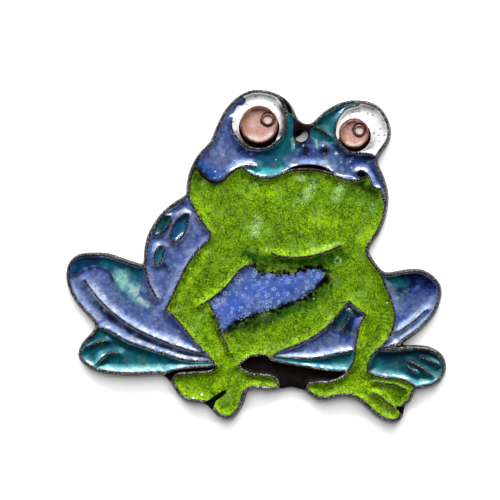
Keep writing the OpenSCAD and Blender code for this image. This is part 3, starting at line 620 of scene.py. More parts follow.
PAINT = {
    "head_blue": painter(
        "periwinkle", ("slate", 0.7, 3.2, (-4, 14.5)), ("lavender", 0.6, 1.5, (-5, 14.5)),
        ("lavender", 0.5, 1.3, (-3.4, 13.8)),
        ("deep_blue", 0.8, 1.0, (-1.4, 22), (-2.2, 20.5), (-3.2, 18.5)),
        ("deep_blue", 0.85, 0.8, (-8.5, 12.9), (-7, 12), (-6.2, 11)),
        ("sapphire", 1.0, 1.9, (-8.4, 13), (-7.2, 12), (-6.2, 11), (-5, 10.6), (-3.8, 11)),
        ("navy", 1.0, 0.8, (-8.6, 12.8), (-7.6, 12), (-6.6, 11),
         (-5.6, 10.3), (-4.6, 10.2), (-3.4, 11)), ("blue", 0.6, 1.0, (-5, 12), (-3, 12.4)),
        # The pale blue run here is a painted highlight along the wall by the mouth's left corner.
        ("pale_blue", 0.7, 0.8, (-2.6, 12.9), (0, 13.3)),
        # Painted shade along the wall under the left eye, partly the deeper colour of glass pooled against
        # it.
        ("navy", 0.95, 1.1, (-1.6, 14.8), (-0.6, 14.2), (2.5, 14.1)),
        ("deep_blue", 0.6, 1.4, (-1.5, 14), (1, 13.4)), highlight_share=0.3,
    ),
    "head_teal": painter(
        # The navy run is painted shade along the wall under the left eye, partly the deeper colour of
        # glass pooled against it.
        "teal", ("navy", 0.8, 0.8, (0, 14.4), (3, 14.2)), ("sea_blue", 0.6, 1.2, (0.5, 13.4), (2, 13)),
        # The cyan run along the lip is a painted highlight.
        ("cyan", 0.75, 0.8, (-0.8, 12), (1.5, 11.6), (4, 12)),
        # The mint and cream runs by the lug are a painted highlight where the glass meets the lug's wall.
        ("dark_teal", 0.6, 0.8, (4.6, 17.5), (4.3, 19)), ("mint", 0.7, 0.6, (5.8, 16.4), (5.9, 15)),
        ("cream", 0.7, 0.4, (6, 15.6), (6, 15)), ("cyan", 0.4, 0.6, (4.8, 20)),
        ("brown", 0.6, 0.45, (3, 12.7)), ("deep_blue", 0.5, 0.8, "head_blue"), highlight_ink="ice_cyan",
        highlight_share=0.15,
    ),
    "snout_blue": painter(
        "steel", ("periwinkle", 0.7, 2.2, (8.5, 14)), ("lavender", 0.5, 1.0, (10.4, 13.8)),
        ("teal", 0.7, 1.1, (10.2, 16.2), (12.2, 15.3)),
        ("mint", 0.7, 0.35, (8.6, 17), (9.2, 16.2), (9.3, 15)),
        # Painted shade along the wall under the right eye, partly the deeper colour of glass pooled
        # against it.
        ("navy", 0.95, 1.3, (12.6, 15.2), (14, 14), (16, 13.6), (17.6, 13.6)),
        ("deep_blue", 0.85, 1.8, (14.6, 13), (17.6, 11.5)),
        ("deep_blue", 0.5, 1.0, (7, 14), (10, 14.3)), ("teal", 0.95, 0.75, "head_teal"),
        # The navy round each nostril is painted shadow.
        ("navy", 1.0, 1.25, (7.7, 14.9)), ("navy", 1.0, 1.15, (10.5, 14.8)),
        # The pale blue runs are painted highlights along the lip and the mouth's right corner.
        ("pale_blue", 0.6, 0.5, (12, 14.2)), ("pale_blue", 0.7, 0.5, (7, 13), (10.5, 13)),
        ("pale_blue", 0.8, 0.5, (15.2, 12), (16.4, 11.6), (17.3, 10.5)),
        ("deep_blue", 0.7, 0.7, (18.3, 10), (18.6, 7.4)),
        ("periwinkle", 0.5, 0.5, (17.9, 10), (18.2, 8.4)), highlight_share=0.24,
    ),
    "brow_teal": painter(
        "teal", ("dark_teal", 0.7, 0.9, (9, 18.7), (11, 20.6), (13.5, 21.6)),
        ("aqua", 0.4, 0.9, (11, 18)), ("grey_teal", 0.4, 0.5, (11, 21)), highlight_ink="ice_cyan",
    ),
    "left_eye_white": painter(
        # Painted shade: the lilac grey along the top edge, the greys along the right rim and beside the
        # pupil's lower left.
        "white", ("lilac_grey", 0.5, 1.0, (-1.2, 22.2), (1, 23), (3.2, 22.2)),
        ("grey", 0.9, 0.8, (4, 21), (4.6, 20), (4.7, 18.6), (4.2, 17)),
        ("dark_grey", 1.0, 0.6, (4.4, 20.6), (4.8, 19.4), (4.8, 18.2), (4.3, 17.1)),
        ("grey", 0.8, 0.6, (-2.7, 17.4), (-1.6, 16.2)),
        ("dark_grey", 0.6, 0.3, (-2.2, 16.7), (-1.5, 16)), highlight_share=0.0,
    ),
    "right_eye_white": painter(
        # The lilac grey runs are painted shade along the top and the right side.
        "white", ("lilac_grey", 0.75, 1.0, (13, 20.6), (15, 21.3), (17.3, 20.9)),
        ("lilac_grey", 0.5, 0.6, (18.6, 19), (19, 17.4)), highlight_share=0.0,
    ),
    "left_pupil": painter(
        "pink", ("ochre_pink", 0.8, 1.1, (-1.0, 19.3), (-0.9, 17.6)),
        ("cream_pink", 0.5, 0.9, (0.2, 18.4)),
        # Painted shade along the pupil's top edge (rust) and painted highlight along its lower edge (cream
        # pink).
        ("rust", 0.8, 0.5, (-0.6, 20.4), (1.4, 20.8), (2.8, 20.2)),
        ("cream_pink", 0.95, 0.7, (-0.4, 16.6), (1, 16.2), (2.6, 16.9)),
        ("dark_rust", 1.0, 0.28, *round_about(2.25, 19.1, 0.98)), highlight_share=0.0,
    ),
    "right_pupil": painter(
        "pink", ("ochre_pink", 0.7, 0.8, (12.9, 17.4), (13.2, 16)),
        ("cream_pink", 0.5, 0.6, (13.6, 16.6)),
        # Painted highlight along the pupil's lower edge (cream pink) and painted shade along its top edge
        # (rust).
        ("cream_pink", 0.9, 0.5, (13.6, 15.6), (14.6, 15.3), (15.6, 15.7)),
        ("rust", 0.8, 0.4, (13.4, 18.5), (14.6, 18.9)),
        ("dark_rust", 1.0, 0.28, *round_about(15.3, 17.5, 0.93)), highlight_share=0.0,
    ),
    # The rust in each glint, along its top edge, is painted shade.
    "left_glint": painter("cream_pink", ("rust", 0.6, 0.3, (2.0, 19.6), (2.7, 19.5)), highlight_share=0.0),
    "right_glint": painter("cream_pink", ("rust", 0.6, 0.25, (15.1, 17.9), (15.6, 17.9)), highlight_share=0.0),
    "green_body": painter(
        "green", ("deep_green", 0.85, 0.7, (-8.6, 11.6), (-7.6, 10.6)),
        ("dark_green", 0.6, 1.2, (-8, 9.5), (-8.2, 11)),
        ("deep_green", 0.9, 1.0, (15.4, 9.8), (16.4, 9), (17.6, 8.6)),
        ("dark_green", 0.6, 1.4, (14, 8.6), (17, 7.6)),
        # The dark green band under the chin line is painted shadow.
        ("dark_green", 1.0, 1.5, (-1, 0), (3, -1.3), (8, -1.5), (13, -0.3)),
        ("ochre", 0.5, 0.5, (1, -1.7), (6, -2.2), (10.5, -1.8)),
        ("dark_green", 0.6, 1.5, (4, -7.5), (9, -6), (12.5, -4)),
        ("deep_green", 0.85, 1.7, (-3.2, -10.6), (0.4, -9.9), (4, -8.9)),
        ("dark_green", 0.8, 1.6, (3, -8.6), (8, -7.2), (9.6, -5.6)),
        ("deep_green", 0.8, 1.2, "belly_blue"), ("black", 1.0, 0.55, "belly_blue"),
        # These yellow green runs are painted highlights along the edges of the arms and hands.
        ("yellow_green", 0.7, 0.9, (-12.4, -8.5), (-9.2, -4.5), (-6.6, 0)),
        ("yellow_green", 0.8, 0.9, (-5, -8.4), (-8, -7), (-2.4, -3.5)),
        ("yellow_green", 0.7, 1.2, (-6, -11), (-4.4, -14), (-3.4, -16)),
        ("yellow_green", 0.8, 1.0, (-10.5, -19.4), (-7, -20), (-4, -18.5)),
        ("yellow_green", 0.8, 0.9, (-5.3, -23.2), (-3.4, -22.5)),
        ("yellow_green", 0.7, 0.9, (-1, -18.4), (3, -18.8)),
        ("yellow_green", 0.7, 1.1, (2, -13), (-0.5, -14), (-2.5, -13.6)),
        ("yellow_green", 0.7, 0.9, (15.4, -8.5), (15.6, -13.5)),
        ("yellow_green", 0.7, 1.0, (12, -19), (16, -18.6), (20, -22), (22, -23.2)),
        ("yellow_green", 0.7, 1.0, (19, -12.8), (18, -14)),
        # The olive runs are painted shade along the hands' top edges.
        ("olive", 0.7, 0.7, (-11, -17.3), (-8, -17.2), (-6, -16.8)),
        ("olive", 0.7, 0.7, (11, -17.4), (14, -17), (15.4, -16)),
        ("dark_green", 0.6, 0.6, (19.8, -20), (22.3, -21.6)), ("haze", 0.85, 1.2, (0.6, 4.5), (0.4, 3)),
        ("haze", 0.8, 1.2, (7.4, 7.6), (8.8, 10)), ("haze", 0.7, 1.2, (12, 8), (13, 10)),
        ("haze", 0.7, 0.8, (6.6, 10.7), (7.4, 10.8)), ("haze", 0.8, 0.4, (0, 10), (0.8, 9.7)),
        ("haze", 0.35, 0.6, (-4.2, 8.8)), ("haze", 0.5, 0.6, (17.2, 7)),
        ("yellow_green", 0.6, 1.3, (15.5, 2.2), (17.6, 4.2)),
        ("yellow_green", 0.7, 2.0, (8, 4.4), (12, 4.6)), ("yellow_green", 0.7, 1.6, (0, 8.3), (3, 8.8)),
        ("yellow_green", 0.5, 1.6, (4, 6.5)), ("yellow_green", 0.5, 1.6, (-6.4, 5), (-7.2, 8)),
        ("haze", 0.8, 0.7, (8.6, 0.2), (12, 1.2)), ("haze", 1.0, 0.7, (2.1, 0.5)),
        # The yellow green run here is a painted highlight along the north side of the chin line.
        ("haze", 0.7, 0.5, (0.2, 0.4)), ("yellow_green", 0.7, 0.6, (1.4, 0.4), (8.5, -0.1)),
        ("haze", 0.9, 0.22, *round_about(12.2, -1.1, 0.45)),
        ("haze", 0.7, 0.2, *round_about(-10.4, -7.8, 0.45)), highlight_ink="yellow_green", highlight_share=0.75,
    ),
    "belly_blue": painter(
        "periwinkle", ("bright_blue", 0.6, 2.6, (-3.5, -8), (0.5, -5), (4.5, -5.4)),
        ("bright_blue", 0.6, 1.2, (6, -4), (9, -3)), ("periwinkle", 0.4, 1.6, (-2, -5.5)),
        ("periwinkle", 0.4, 1.6, (3, -5)), ("lavender", 0.5, 1.2, (-0.6, -6.6)),
        ("periwinkle", 0.7, 1.5, (8, -3.4)), ("lavender", 0.5, 1.2, (-4.6, -7)),
        ("deep_blue", 0.6, 1.0, (5.5, -5.4)), ("deep_blue", 0.6, 0.9, (1, -3.4)),
        ("deep_blue", 0.5, 0.9, (-1.8, -8.6)), ("navy", 0.7, 0.55, "green_body"),
        ("black", 1.0, 0.26, "green_body"), highlight_ink="periwinkle", highlight_share=0.3,
    ),
    "back_blue": painter(
        "periwinkle", ("deep_blue", 0.7, 0.7, (-11.4, 6.8), (-8.6, 8.2)),
        ("navy", 0.6, 0.4, (-10.6, 7.6), (-8.4, 8.6)), ("lavender", 0.6, 0.9, (-9, 6.6), (-8, 4)),
        ("deep_blue", 0.6, 0.8, (-8, 2.6), (-7.8, 0.8)),
        ("pale_blue", 0.5, 0.7, (-13.6, 1.6), (-13.8, -1.4)), ("deep_blue", 0.6, 0.8, (-10.6, 0.6)),
        ("navy", 0.7, 0.5, (-12.6, -1.6), (-11.8, -2.6)), ("lavender", 0.5, 1.0, (-9.6, -3.4)),
        ("deep_blue", 0.4, 1.0, (-10.6, -5.4)),
    ),
    "back_spot_upper": painter("teal", ("navy", 0.7, 0.35, (-12.2, 4.8), (-13.2, 3.2)), highlight_share=0.0),
    "back_spot_middle": painter(
        "sea_blue", ("teal", 0.7, 0.6, (-10.2, 3.4)), ("navy", 0.7, 0.35, (-9.8, 5)), highlight_share=0.0,
    ),
    "back_spot_lower": painter("teal", ("aqua", 0.4, 0.3, (-13.1, -0.8)), highlight_share=0.0),
    "left_thigh_navy": painter(
        "sea_blue", ("navy", 0.6, 0.9, (-26, -4.6), (-24.6, -1.8), (-21.6, -1)),
        ("deep_blue", 0.6, 0.6, (-26, -5.6), (-24, -3.4)), ("teal", 0.9, 1.5, (-21, -1.6), (-16, -2.8)),
        ("mint", 1.0, 1.8, (-18.8, -3.4), (-17.6, -4.8), (-16.4, -6)),
        ("cream", 0.9, 0.9, (-17.2, -5.2), (-16, -6.4)),
        ("navy", 0.8, 0.6, (-25.6, -3.3), (-24.2, -2.3), (-22.4, -2)),
        ("slate", 0.8, 0.8, (-15.2, -3), (-15.3, -5)),
    ),
    "left_thigh_blue": painter(
        "periwinkle", ("lavender", 0.4, 1.6, (-22, -6.6)), ("slate", 0.7, 2.2, (-16, -7.2)),
        ("grey_teal", 0.6, 1.0, (-14.6, -7.6)),
        ("mint", 0.8, 1.0, (-18.4, -5), (-17.2, -6.4), (-16.2, -6.8)),
        ("cream", 0.9, 0.6, (-16.2, -6.6), (-15, -7.4)),
        ("deep_blue", 0.5, 1.2, (-12, -9.4), (-9.6, -11)),
        ("slate", 0.5, 0.9, (-20, -4.8), (-19, -6.6), (-16, -8.4)),
        ("navy", 0.9, 0.55, (-26.8, -3.6), (-25, -3), (-23.6, -2.2),
         (-21.8, -2), (-20.6, -2.6), (-20, -3.8)), ("blue", 0.6, 0.9, (-25.6, -6.6), (-22.4, -10.2)),
        # Painted shade along the south side of the shin line (navy), and painted highlight along its north
        # side (ice).
        ("navy", 0.95, 0.75, (-22.4, -7.2), (-20, -9.4), (-17.4, -11.2),
         (-14, -13), (-10.4, -14.4), (-7.4, -14.9)),
        ("ice", 0.5, 0.9, (-23, -5), (-20.6, -7.6), (-17.6, -9.9), (-14, -11.6), (-9, -13.4)),
    ),
    "left_foot_teal": painter(
        "teal", ("dark_teal", 0.7, 0.9, (-23.4, -13.4), (-20, -12.6), (-15, -14.6)),
        ("dark_teal", 0.8, 0.6, (-23, -15.6), (-20.6, -15.4)), ("grey_teal", 0.5, 1.0, (-16, -15.4)),
        # The cyan and pale blue runs are painted highlights along the foot's lower edge.
        ("cyan", 0.8, 1.0, (-21, -18), (-15, -18.2), (-12, -17.6)),
        ("pale_blue", 0.8, 0.7, (-10.4, -17.4), (-5.6, -16.6)), ("brown", 0.7, 0.45, (-18, -15.2)),
        ("olive", 0.4, 0.9, (-15.4, -15.8)), highlight_ink="ice_cyan", highlight_share=0.75,
    ),
    "inner_thigh_teal": painter(
        "dark_teal", ("teal", 0.7, 0.8, (12.4, -10), (13.8, -8.4)),
        ("navy", 0.85, 0.9, (15.2, -9), (14.6, -11)),
        ("deep_blue", 0.9, 0.9, (14.5, -10.4), (15, -9.4)), ("brown", 0.8, 0.45, (12.5, -10.9)),
        ("slate", 0.6, 0.6, "inner_thigh_blue"),
    ),
    "inner_thigh_blue": painter(
        "periwinkle", ("slate", 0.8, 1.4, (11, -12)), ("blue", 0.9, 0.9, (13.9, -12.2)),
        ("lavender", 0.5, 1.2, (8, -13.4)), ("deep_blue", 0.75, 0.9, "inner_thigh_teal"),
        # The pale blue run is a painted highlight along the wall above the inner foot.
        ("pale_blue", 0.7, 0.5, (4, -14.6), (9, -14.4), (14, -13.6)),
    ),
    "inner_foot_teal": painter(
        "teal", ("dark_teal", 0.8, 0.6, (8, -15), (13.6, -14.2)),
        # The cyan run is a painted highlight along the lower edge.
        ("cyan", 0.8, 0.6, (3.4, -15.3), (13, -16.6)), highlight_ink="ice_cyan", highlight_share=0.3,
    ),
    "right_thigh_navy": painter(
        "navy", ("teal", 0.8, 1.2, (19.6, -3.8), (21.6, -4.6)), ("deep_blue", 0.5, 1.0, (24, -4.2)),
    ),
    "right_thigh_blue": painter(
        "periwinkle", ("deep_blue", 0.8, 2.2, (22, -5.2), (26, -5)),
        ("grey_teal", 0.8, 1.8, (21.2, -6.2)), ("teal", 0.7, 1.3, (20, -5.4)),
        ("slate", 0.7, 2.0, (23.4, -7)), ("navy", 0.8, 0.7, "right_thigh_navy"),
        # The pale blue runs are painted highlights above the thigh's inner line and along its lower edge.
        ("pale_blue", 0.8, 0.5, (20.6, -10.6), (22.6, -9.2), (24.8, -7.8)),
        ("pale_blue", 0.8, 0.7, (18.6, -12.6), (22, -11.2), (24.8, -8.8)), ("blue", 0.4, 1.0, (20, -9)),
    ),
    "right_foot_teal": painter(
        "dark_teal", ("teal", 0.9, 1.9, (18, -16), (22, -17), (26, -16)),
        ("navy", 0.4, 1.0, (17.6, -14.6), (21, -14.6), (25.6, -14.8)),
        ("grey_teal", 0.5, 1.0, (20.4, -15.8)), ("dark_teal", 0.7, 0.5, (22.6, -16.8), (24, -16.6)),
        # The cyan run is a painted highlight along the foot's lower edge.
        ("cyan", 0.5, 0.8, (20, -17.4), (23.6, -18.8), (26, -17.6)), highlight_ink="ice_cyan",
    ),
}


# ================================================================ materials
class Nodes:
    """Short names for building a node tree."""

    def __init__(self, name):
        self.material = bpy.data.materials.new(name)
        self.material.use_nodes = True
        self.tree = self.material.node_tree
        self.shader = self.tree.nodes["Principled BSDF"]
        place_node = self.add("ShaderNodeTexCoord")
        scale = self.add("ShaderNodeVectorMath", operation="SCALE")
        scale.inputs["Scale"].default_value = 1 / MM
        self.join(place_node.outputs["Object"], scale.inputs[0])
        self.mm = scale.outputs[0]

    def add(self, kind, **settings):
        node = self.tree.nodes.new(kind)
        for key, value in settings.items():
            setattr(node, key, value)
        return node

    def join(self, a, b):
        self.tree.links.new(a, b)

    def noise(self, scale, detail=3.0, rough=0.55, warp=0.0):
        node = self.add("ShaderNodeTexNoise")
        node.inputs["Scale"].default_value = scale
        node.inputs["Detail"].default_value = detail
        node.inputs["Roughness"].default_value = rough
        node.inputs["Distortion"].default_value = warp
        self.join(self.mm, node.inputs["Vector"])
        return node.outputs["Fac"]

    def warped(self, amount, scale):
        """The place, pushed about by noise."""
        node = self.add("ShaderNodeTexNoise")
        node.inputs["Scale"].default_value = scale
        self.join(self.mm, node.inputs["Vector"])
        push = self.add("ShaderNodeVectorMath", operation="MULTIPLY_ADD")
        push.inputs[1].default_value = (amount,) * 3
        self.join(node.outputs["Color"], push.inputs[0])
        self.join(self.mm, push.inputs[2])
        return push.outputs[0]

    def cells(self, scale, feature="F1", vector=None):
        node = self.add("ShaderNodeTexVoronoi", feature=feature)
        node.inputs["Scale"].default_value = scale
        self.join(self.mm if vector is None else vector, node.inputs["Vector"])
        return node

    def ramp(self, value, *stops):
        """Maps a value through (position, level) stops."""
        node = self.add("ShaderNodeValToRGB")
        band = node.color_ramp.elements
        while len(band) < len(stops):
            band.new(0.5)
        for element, (at, level) in zip(band, stops):
            element.position = at
            level = level if isinstance(level, (tuple, list)) else (level,) * 3
            element.color = (*level, 1)
        self.join(value, node.inputs["Fac"])
        return node.outputs["Color"]

    def mix(self, share, a, b, kind="MIX"):
        node = self.add("ShaderNodeMix", data_type="RGBA", blend_type=kind)
        for socket, value in ((0, share), (6, a), (7, b)):
            if isinstance(value, bpy.types.NodeSocket):
                self.join(value, node.inputs[socket])
            elif socket == 0:
                node.inputs[0].default_value = value
            else:
                node.inputs[socket].default_value = (*value, 1)
        return node.outputs[2]

    def maths(self, operation, a, b):
        node = self.add("ShaderNodeMath", operation=operation)
        for socket, value in enumerate((a, b)):
            if isinstance(value, bpy.types.NodeSocket):
                self.join(value, node.inputs[socket])
            else:
                node.inputs[socket].default_value = value
        return node.outputs[0]

    def tint(self):
        node = self.add("ShaderNodeAttribute", attribute_name="tint")
        return node.outputs["Color"]

    def bump(self, height, depth, before=None):
        node = self.add("ShaderNodeBump")
        node.inputs["Strength"].default_value = 1.0
        node.inputs["Distance"].default_value = depth
        self.join(height, node.inputs["Height"])
        if before is not None:
            self.join(before, node.inputs["Normal"])
        return node.outputs["Normal"]

    def finish(self, colour, roughness, normal=None, **fixed):
        self.join(colour, self.shader.inputs["Base Color"])
        if isinstance(roughness, bpy.types.NodeSocket):
            self.join(roughness, self.shader.inputs["Roughness"])
        else:
            self.shader.inputs["Roughness"].default_value = roughness
        if normal is not None:
            self.join(normal, self.shader.inputs["Normal"])
        for key, value in fixed.items():
            self.shader.inputs[key.replace("_", " ")].default_value = value
        return self.material


GLOSS = {
    "Coat_Weight": 1.0, "Coat_Roughness": 0.09, "Coat_IOR": 1.5, "IOR": 1.55, "Specular_IOR_Level": 0.2,
}


def clouded_glass(name, bubbly=True):
    """Blue or teal glass: soft clouds, fine frit grain and, in the blue, small bubbles under a gloss."""
    n = Nodes(name)
    cloud = n.ramp(n.noise(0.75, 3, 0.6),
                   (0.34, (0.5, 0.72, 1.12)), (0.5, (1.0, 1.0, 1.0)), (0.68, (1.6, 1.45, 1.28)))
    colour = n.mix(0.9, n.tint(), cloud, "MULTIPLY")
    shade = n.ramp(n.noise(1.6, 4, 0.65), (0.34, 0.4), (0.6, 1.0))
    colour = n.mix(0.85, colour, shade, "MULTIPLY")
    grain = n.ramp(n.noise(6.5, 3, 0.7), (0.34, 0.55), (0.5, 1.0), (0.72, 1.3))
    colour = n.mix(0.75, colour, grain, "MULTIPLY")
    for scale, keep, share in ((0.85, 0.5, 0.22), (1.7, 0.6, 0.3)) if bubbly else ():
        bubble = n.cells(scale, "F1", n.warped(0.35, 1.8))
        disc = n.ramp(bubble.outputs["Distance"], (0.0, 0.55), (0.3, 0.7), (0.38, 1.0), (0.44, 0.0))
        chosen = n.ramp(bubble.outputs["Color"], (keep, 0.0), (keep + 0.1, share))
        colour = n.mix(n.maths("MULTIPLY", disc, chosen), colour, n.mix(0.5, colour, INK["pale_blue"]))
    normal = n.bump(n.noise(3.4, 3, 0.6), 0.02 * MM)
    return n.finish(colour, 0.34, normal, **GLOSS)


def bubbled_glass(name):
    """The belly's blue: crowded with pale bubble rings."""
    n = Nodes(name)
    shade = n.ramp(n.noise(1.3, 4, 0.65), (0.32, 0.6), (0.62, 1.15))
    colour = n.mix(0.8, n.tint(), shade, "MULTIPLY")
    grain = n.ramp(n.noise(7, 3, 0.7), (0.34, 0.6), (0.5, 1.0), (0.72, 1.3))
    colour = n.mix(0.7, colour, grain, "MULTIPLY")
    for scale, keep, share in ((1.1, 0.45, 0.55), (2.3, 0.62, 0.7)):
        bubble = n.cells(scale)
        ring = n.ramp(bubble.outputs["Distance"], (0.0, 0.15), (0.2, 0.25), (0.27, 1.0), (0.34, 0.0))
        chosen = n.ramp(bubble.outputs["Color"], (keep, 0.0), (keep + 0.08, share))
        colour = n.mix(n.maths("MULTIPLY", ring, chosen), colour, INK["pale_blue"])
    web = n.cells(1.6, "DISTANCE_TO_EDGE", n.warped(0.8, 1.4))
    thread = n.maths("MULTIPLY", n.ramp(web.outputs["Distance"], (0.02, 0.32), (0.08, 0.0)),
                     n.ramp(n.noise(0.5, 2, 0.5), (0.46, 0.0), (0.6, 1.0)))
    colour = n.mix(thread, colour, INK["pale_blue"])
    normal = n.bump(n.noise(5, 3, 0.6), 0.015 * MM)
    return n.finish(colour, 0.18, normal, **GLOSS)


def grained_glass(name):
    """The green: bright grains of frit parted by dark specks and cracks, with hazy patches."""
    n = Nodes(name)
    wobble = n.warped(0.5, 2.2)
    grain = n.cells(3.4, "F1", wobble)
    level = n.ramp(grain.outputs["Color"], (0.0, 0.5), (0.5, 0.95), (1.0, 1.25))
    colour = n.mix(0.6, n.tint(), level, "MULTIPLY")
    joint = n.cells(2.4, "DISTANCE_TO_EDGE", wobble)
    edge = n.ramp(joint.outputs["Distance"], (0.0, 0.12), (0.1, 1.0))
    colour = n.mix(n.ramp(n.noise(0.8, 3, 0.6), (0.35, 0.95), (0.65, 0.3)), colour,
                   n.mix(1.0, colour, edge, "MULTIPLY"))
    speck = n.ramp(n.noise(4.2, 4, 0.7), (0.34, 0.12), (0.45, 0.72), (0.54, 1.1), (0.7, 1.4))
    colour = n.mix(n.ramp(n.noise(0.42, 3, 0.6), (0.4, 1.0), (0.6, 0.4)), colour,
                   n.mix(1.0, colour, speck, "MULTIPLY"))
    patch = n.ramp(n.noise(0.5, 3, 0.6), (0.36, 0.72), (0.6, 1.12))
    colour = n.mix(0.8, colour, patch, "MULTIPLY")
    for scale, push, pitch, thick in ((0.6, 1.6, 0.9, 0.08), (1.5, 0.7, 2.0, 0.13)):
        crack = n.cells(scale, "DISTANCE_TO_EDGE", n.warped(push, pitch))
        line = n.ramp(crack.outputs["Distance"], (0.0, (0.16, 0.3, 0.1)), (thick, (1.0, 1.0, 1.0)))
        colour = n.mix(n.ramp(n.noise(pitch, 3, 0.6), (0.42, 0.0), (0.58, 0.9)), colour,
                       n.mix(1.0, colour, line, "MULTIPLY"))
    haze = n.maths("MULTIPLY", n.ramp(n.noise(0.42, 2, 0.5), (0.56, 0.0), (0.72, 1.0)),
                   n.ramp(n.noise(6, 3, 0.7), (0.48, 0.0), (0.66, 0.5)))
    colour = n.mix(haze, colour, INK["haze"])
    # White dots on the green, partly bubbles and partly painted glints.
    dot = n.cells(2.2)
    bubble_and_glint_dots = n.maths("MULTIPLY", n.ramp(dot.outputs["Distance"], (0.09, 1.0), (0.14, 0.0)),
                      n.ramp(dot.outputs["Color"], (0.86, 0.0), (0.9, 0.8)))
    colour = n.mix(bubble_and_glint_dots, colour, INK["white"])
    normal = n.bump(joint.outputs["Distance"], 0.04 * MM, n.bump(n.noise(5, 4, 0.65), 0.03 * MM))
    return n.finish(colour, 0.4, normal, Coat_Weight=0.15, Coat_Roughness=0.14, Coat_IOR=1.5, IOR=1.45,
                    Specular_IOR_Level=0.1)


def white_glass(name):
    """The eye white: a milky gloss with a few dark pits."""
    n = Nodes(name)
    cloud = n.ramp(n.noise(1.2, 4, 0.6), (0.35, 0.78), (0.62, 1.0))
    colour = n.mix(0.7, n.tint(), cloud, "MULTIPLY")
    pit = n.cells(1.15)
    hole = n.maths("MULTIPLY", n.ramp(pit.outputs["Distance"], (0.1, 1.0), (0.15, 0.0)),
                   n.ramp(pit.outputs["Color"], (0.6, 0.0), (0.64, 0.8)))
    colour = n.mix(hole, colour, INK["dark_grey"])
    normal = n.bump(hole, -0.05 * MM, n.bump(n.noise(4, 3, 0.6), 0.008 * MM))
    return n.finish(colour, 0.12, normal, **GLOSS)


def copper_glass(name):
    """The pupils: clear glass over bright copper."""
    n = Nodes(name)
    grain = n.ramp(n.noise(3.2, 4, 0.65), (0.34, 0.68), (0.6, 1.05))
    colour = n.mix(0.8, n.tint(), grain, "MULTIPLY")
    fleck = n.ramp(n.noise(8, 3, 0.7), (0.3, 0.4), (0.4, 1.0))
    colour = n.mix(0.5, colour, fleck, "MULTIPLY")
    normal = n.bump(n.noise(4, 3, 0.6), 0.012 * MM)
    return n.finish(colour, 0.2, normal, Metallic=0.35, **GLOSS)


def dark_metal(name, base, light, share, worn_and_glinting=False):
    """Oxidised casting: a dark pitted skin with brighter metal in dashes, which stand both for metal
    rubbed through and for painted glints.
    """
    n = Nodes(name)
    if worn_and_glinting:
        share = n.maths("MULTIPLY", n.tint(), share)
    stain = n.ramp(n.noise(1.4, 5, 0.65), (0.35, base), (0.7, tuple(2.2 * c for c in base)))
    dash = n.maths("MULTIPLY", n.ramp(n.noise(1.7, 4, 0.65), (0.44, 0.35), (0.62, 1.0)),
                   n.ramp(n.noise(5.5, 4, 0.75), (0.5, 0.0), (0.64, 1.0)))
    rub_and_glint = n.maths("MULTIPLY", dash, share)
    colour = n.mix(rub_and_glint, stain, light)
    rough = n.ramp(n.noise(3, 4, 0.7), (0.35, 0.28), (0.7, 0.62))
    normal = n.bump(n.noise(2.2, 5, 0.7), 0.05 * MM, n.bump(n.noise(9, 4, 0.7), 0.02 * MM))
    return n.finish(colour, rough, normal, Metallic=0.55, Specular_IOR_Level=0.2)


def paper(name):
    n = Nodes(name)
    colour = n.ramp(n.noise(0.05, 2), (0.3, 0.92), (0.7, 0.95))
    return n.finish(colour, 0.9)


# ================================================================ eyes
EYE_BULGE = 0.28 * MM       # how far an eye's white bulges round its pupil
EYE_SLOPE = 3.2 * MM        # and over what distance it falls away
PUPIL_DISH = 0.22 * MM      # how deep a pupil is dished


def eye_centre(side):
    low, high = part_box(side + "_pupil")
    return (low + high) / 2, (high.x - low.x) / 2


def eye_height(side):
    """The white of an eye bulges round its pupil and is pitted."""
    middle, radius = eye_centre(side)

    def height(points, away):
        off = np.linalg.norm(points - np.array(middle[:2]), axis=1)
        bulge = EYE_BULGE * smooth(1 - (off - radius) / EYE_SLOPE)
        dip = np.zeros(len(points))
        for x, y in PITS:
            near = far_from(points, x, y) / PIT_RADIUS
            dip += PIT_DEPTH * np.exp(-(near ** 3))
        return glass_height(points, away) + bulge - dip
    return height


def pitted(paint):
    """Darkens the pits in the white of an eye."""
    def pitted_paint(points, away):
        colours = paint(points, away)
        for x, y in PITS:
            near = far_from(points, x, y) / PIT_RADIUS
            share = (0.8 * np.exp(-(near ** 3)))[:, None]
            colours = colours * (1 - share) + INK["dark_grey"] * share
        return colours
    return pitted_paint


def pupil_height(points, away):
    """A shallow dish that climbs its ring."""
    return glass_height(points, away, PUPIL_TOP - PUPIL_DISH)


RING_GRIP = 0.03 * MM       # how far a ring reaches over the glass in it


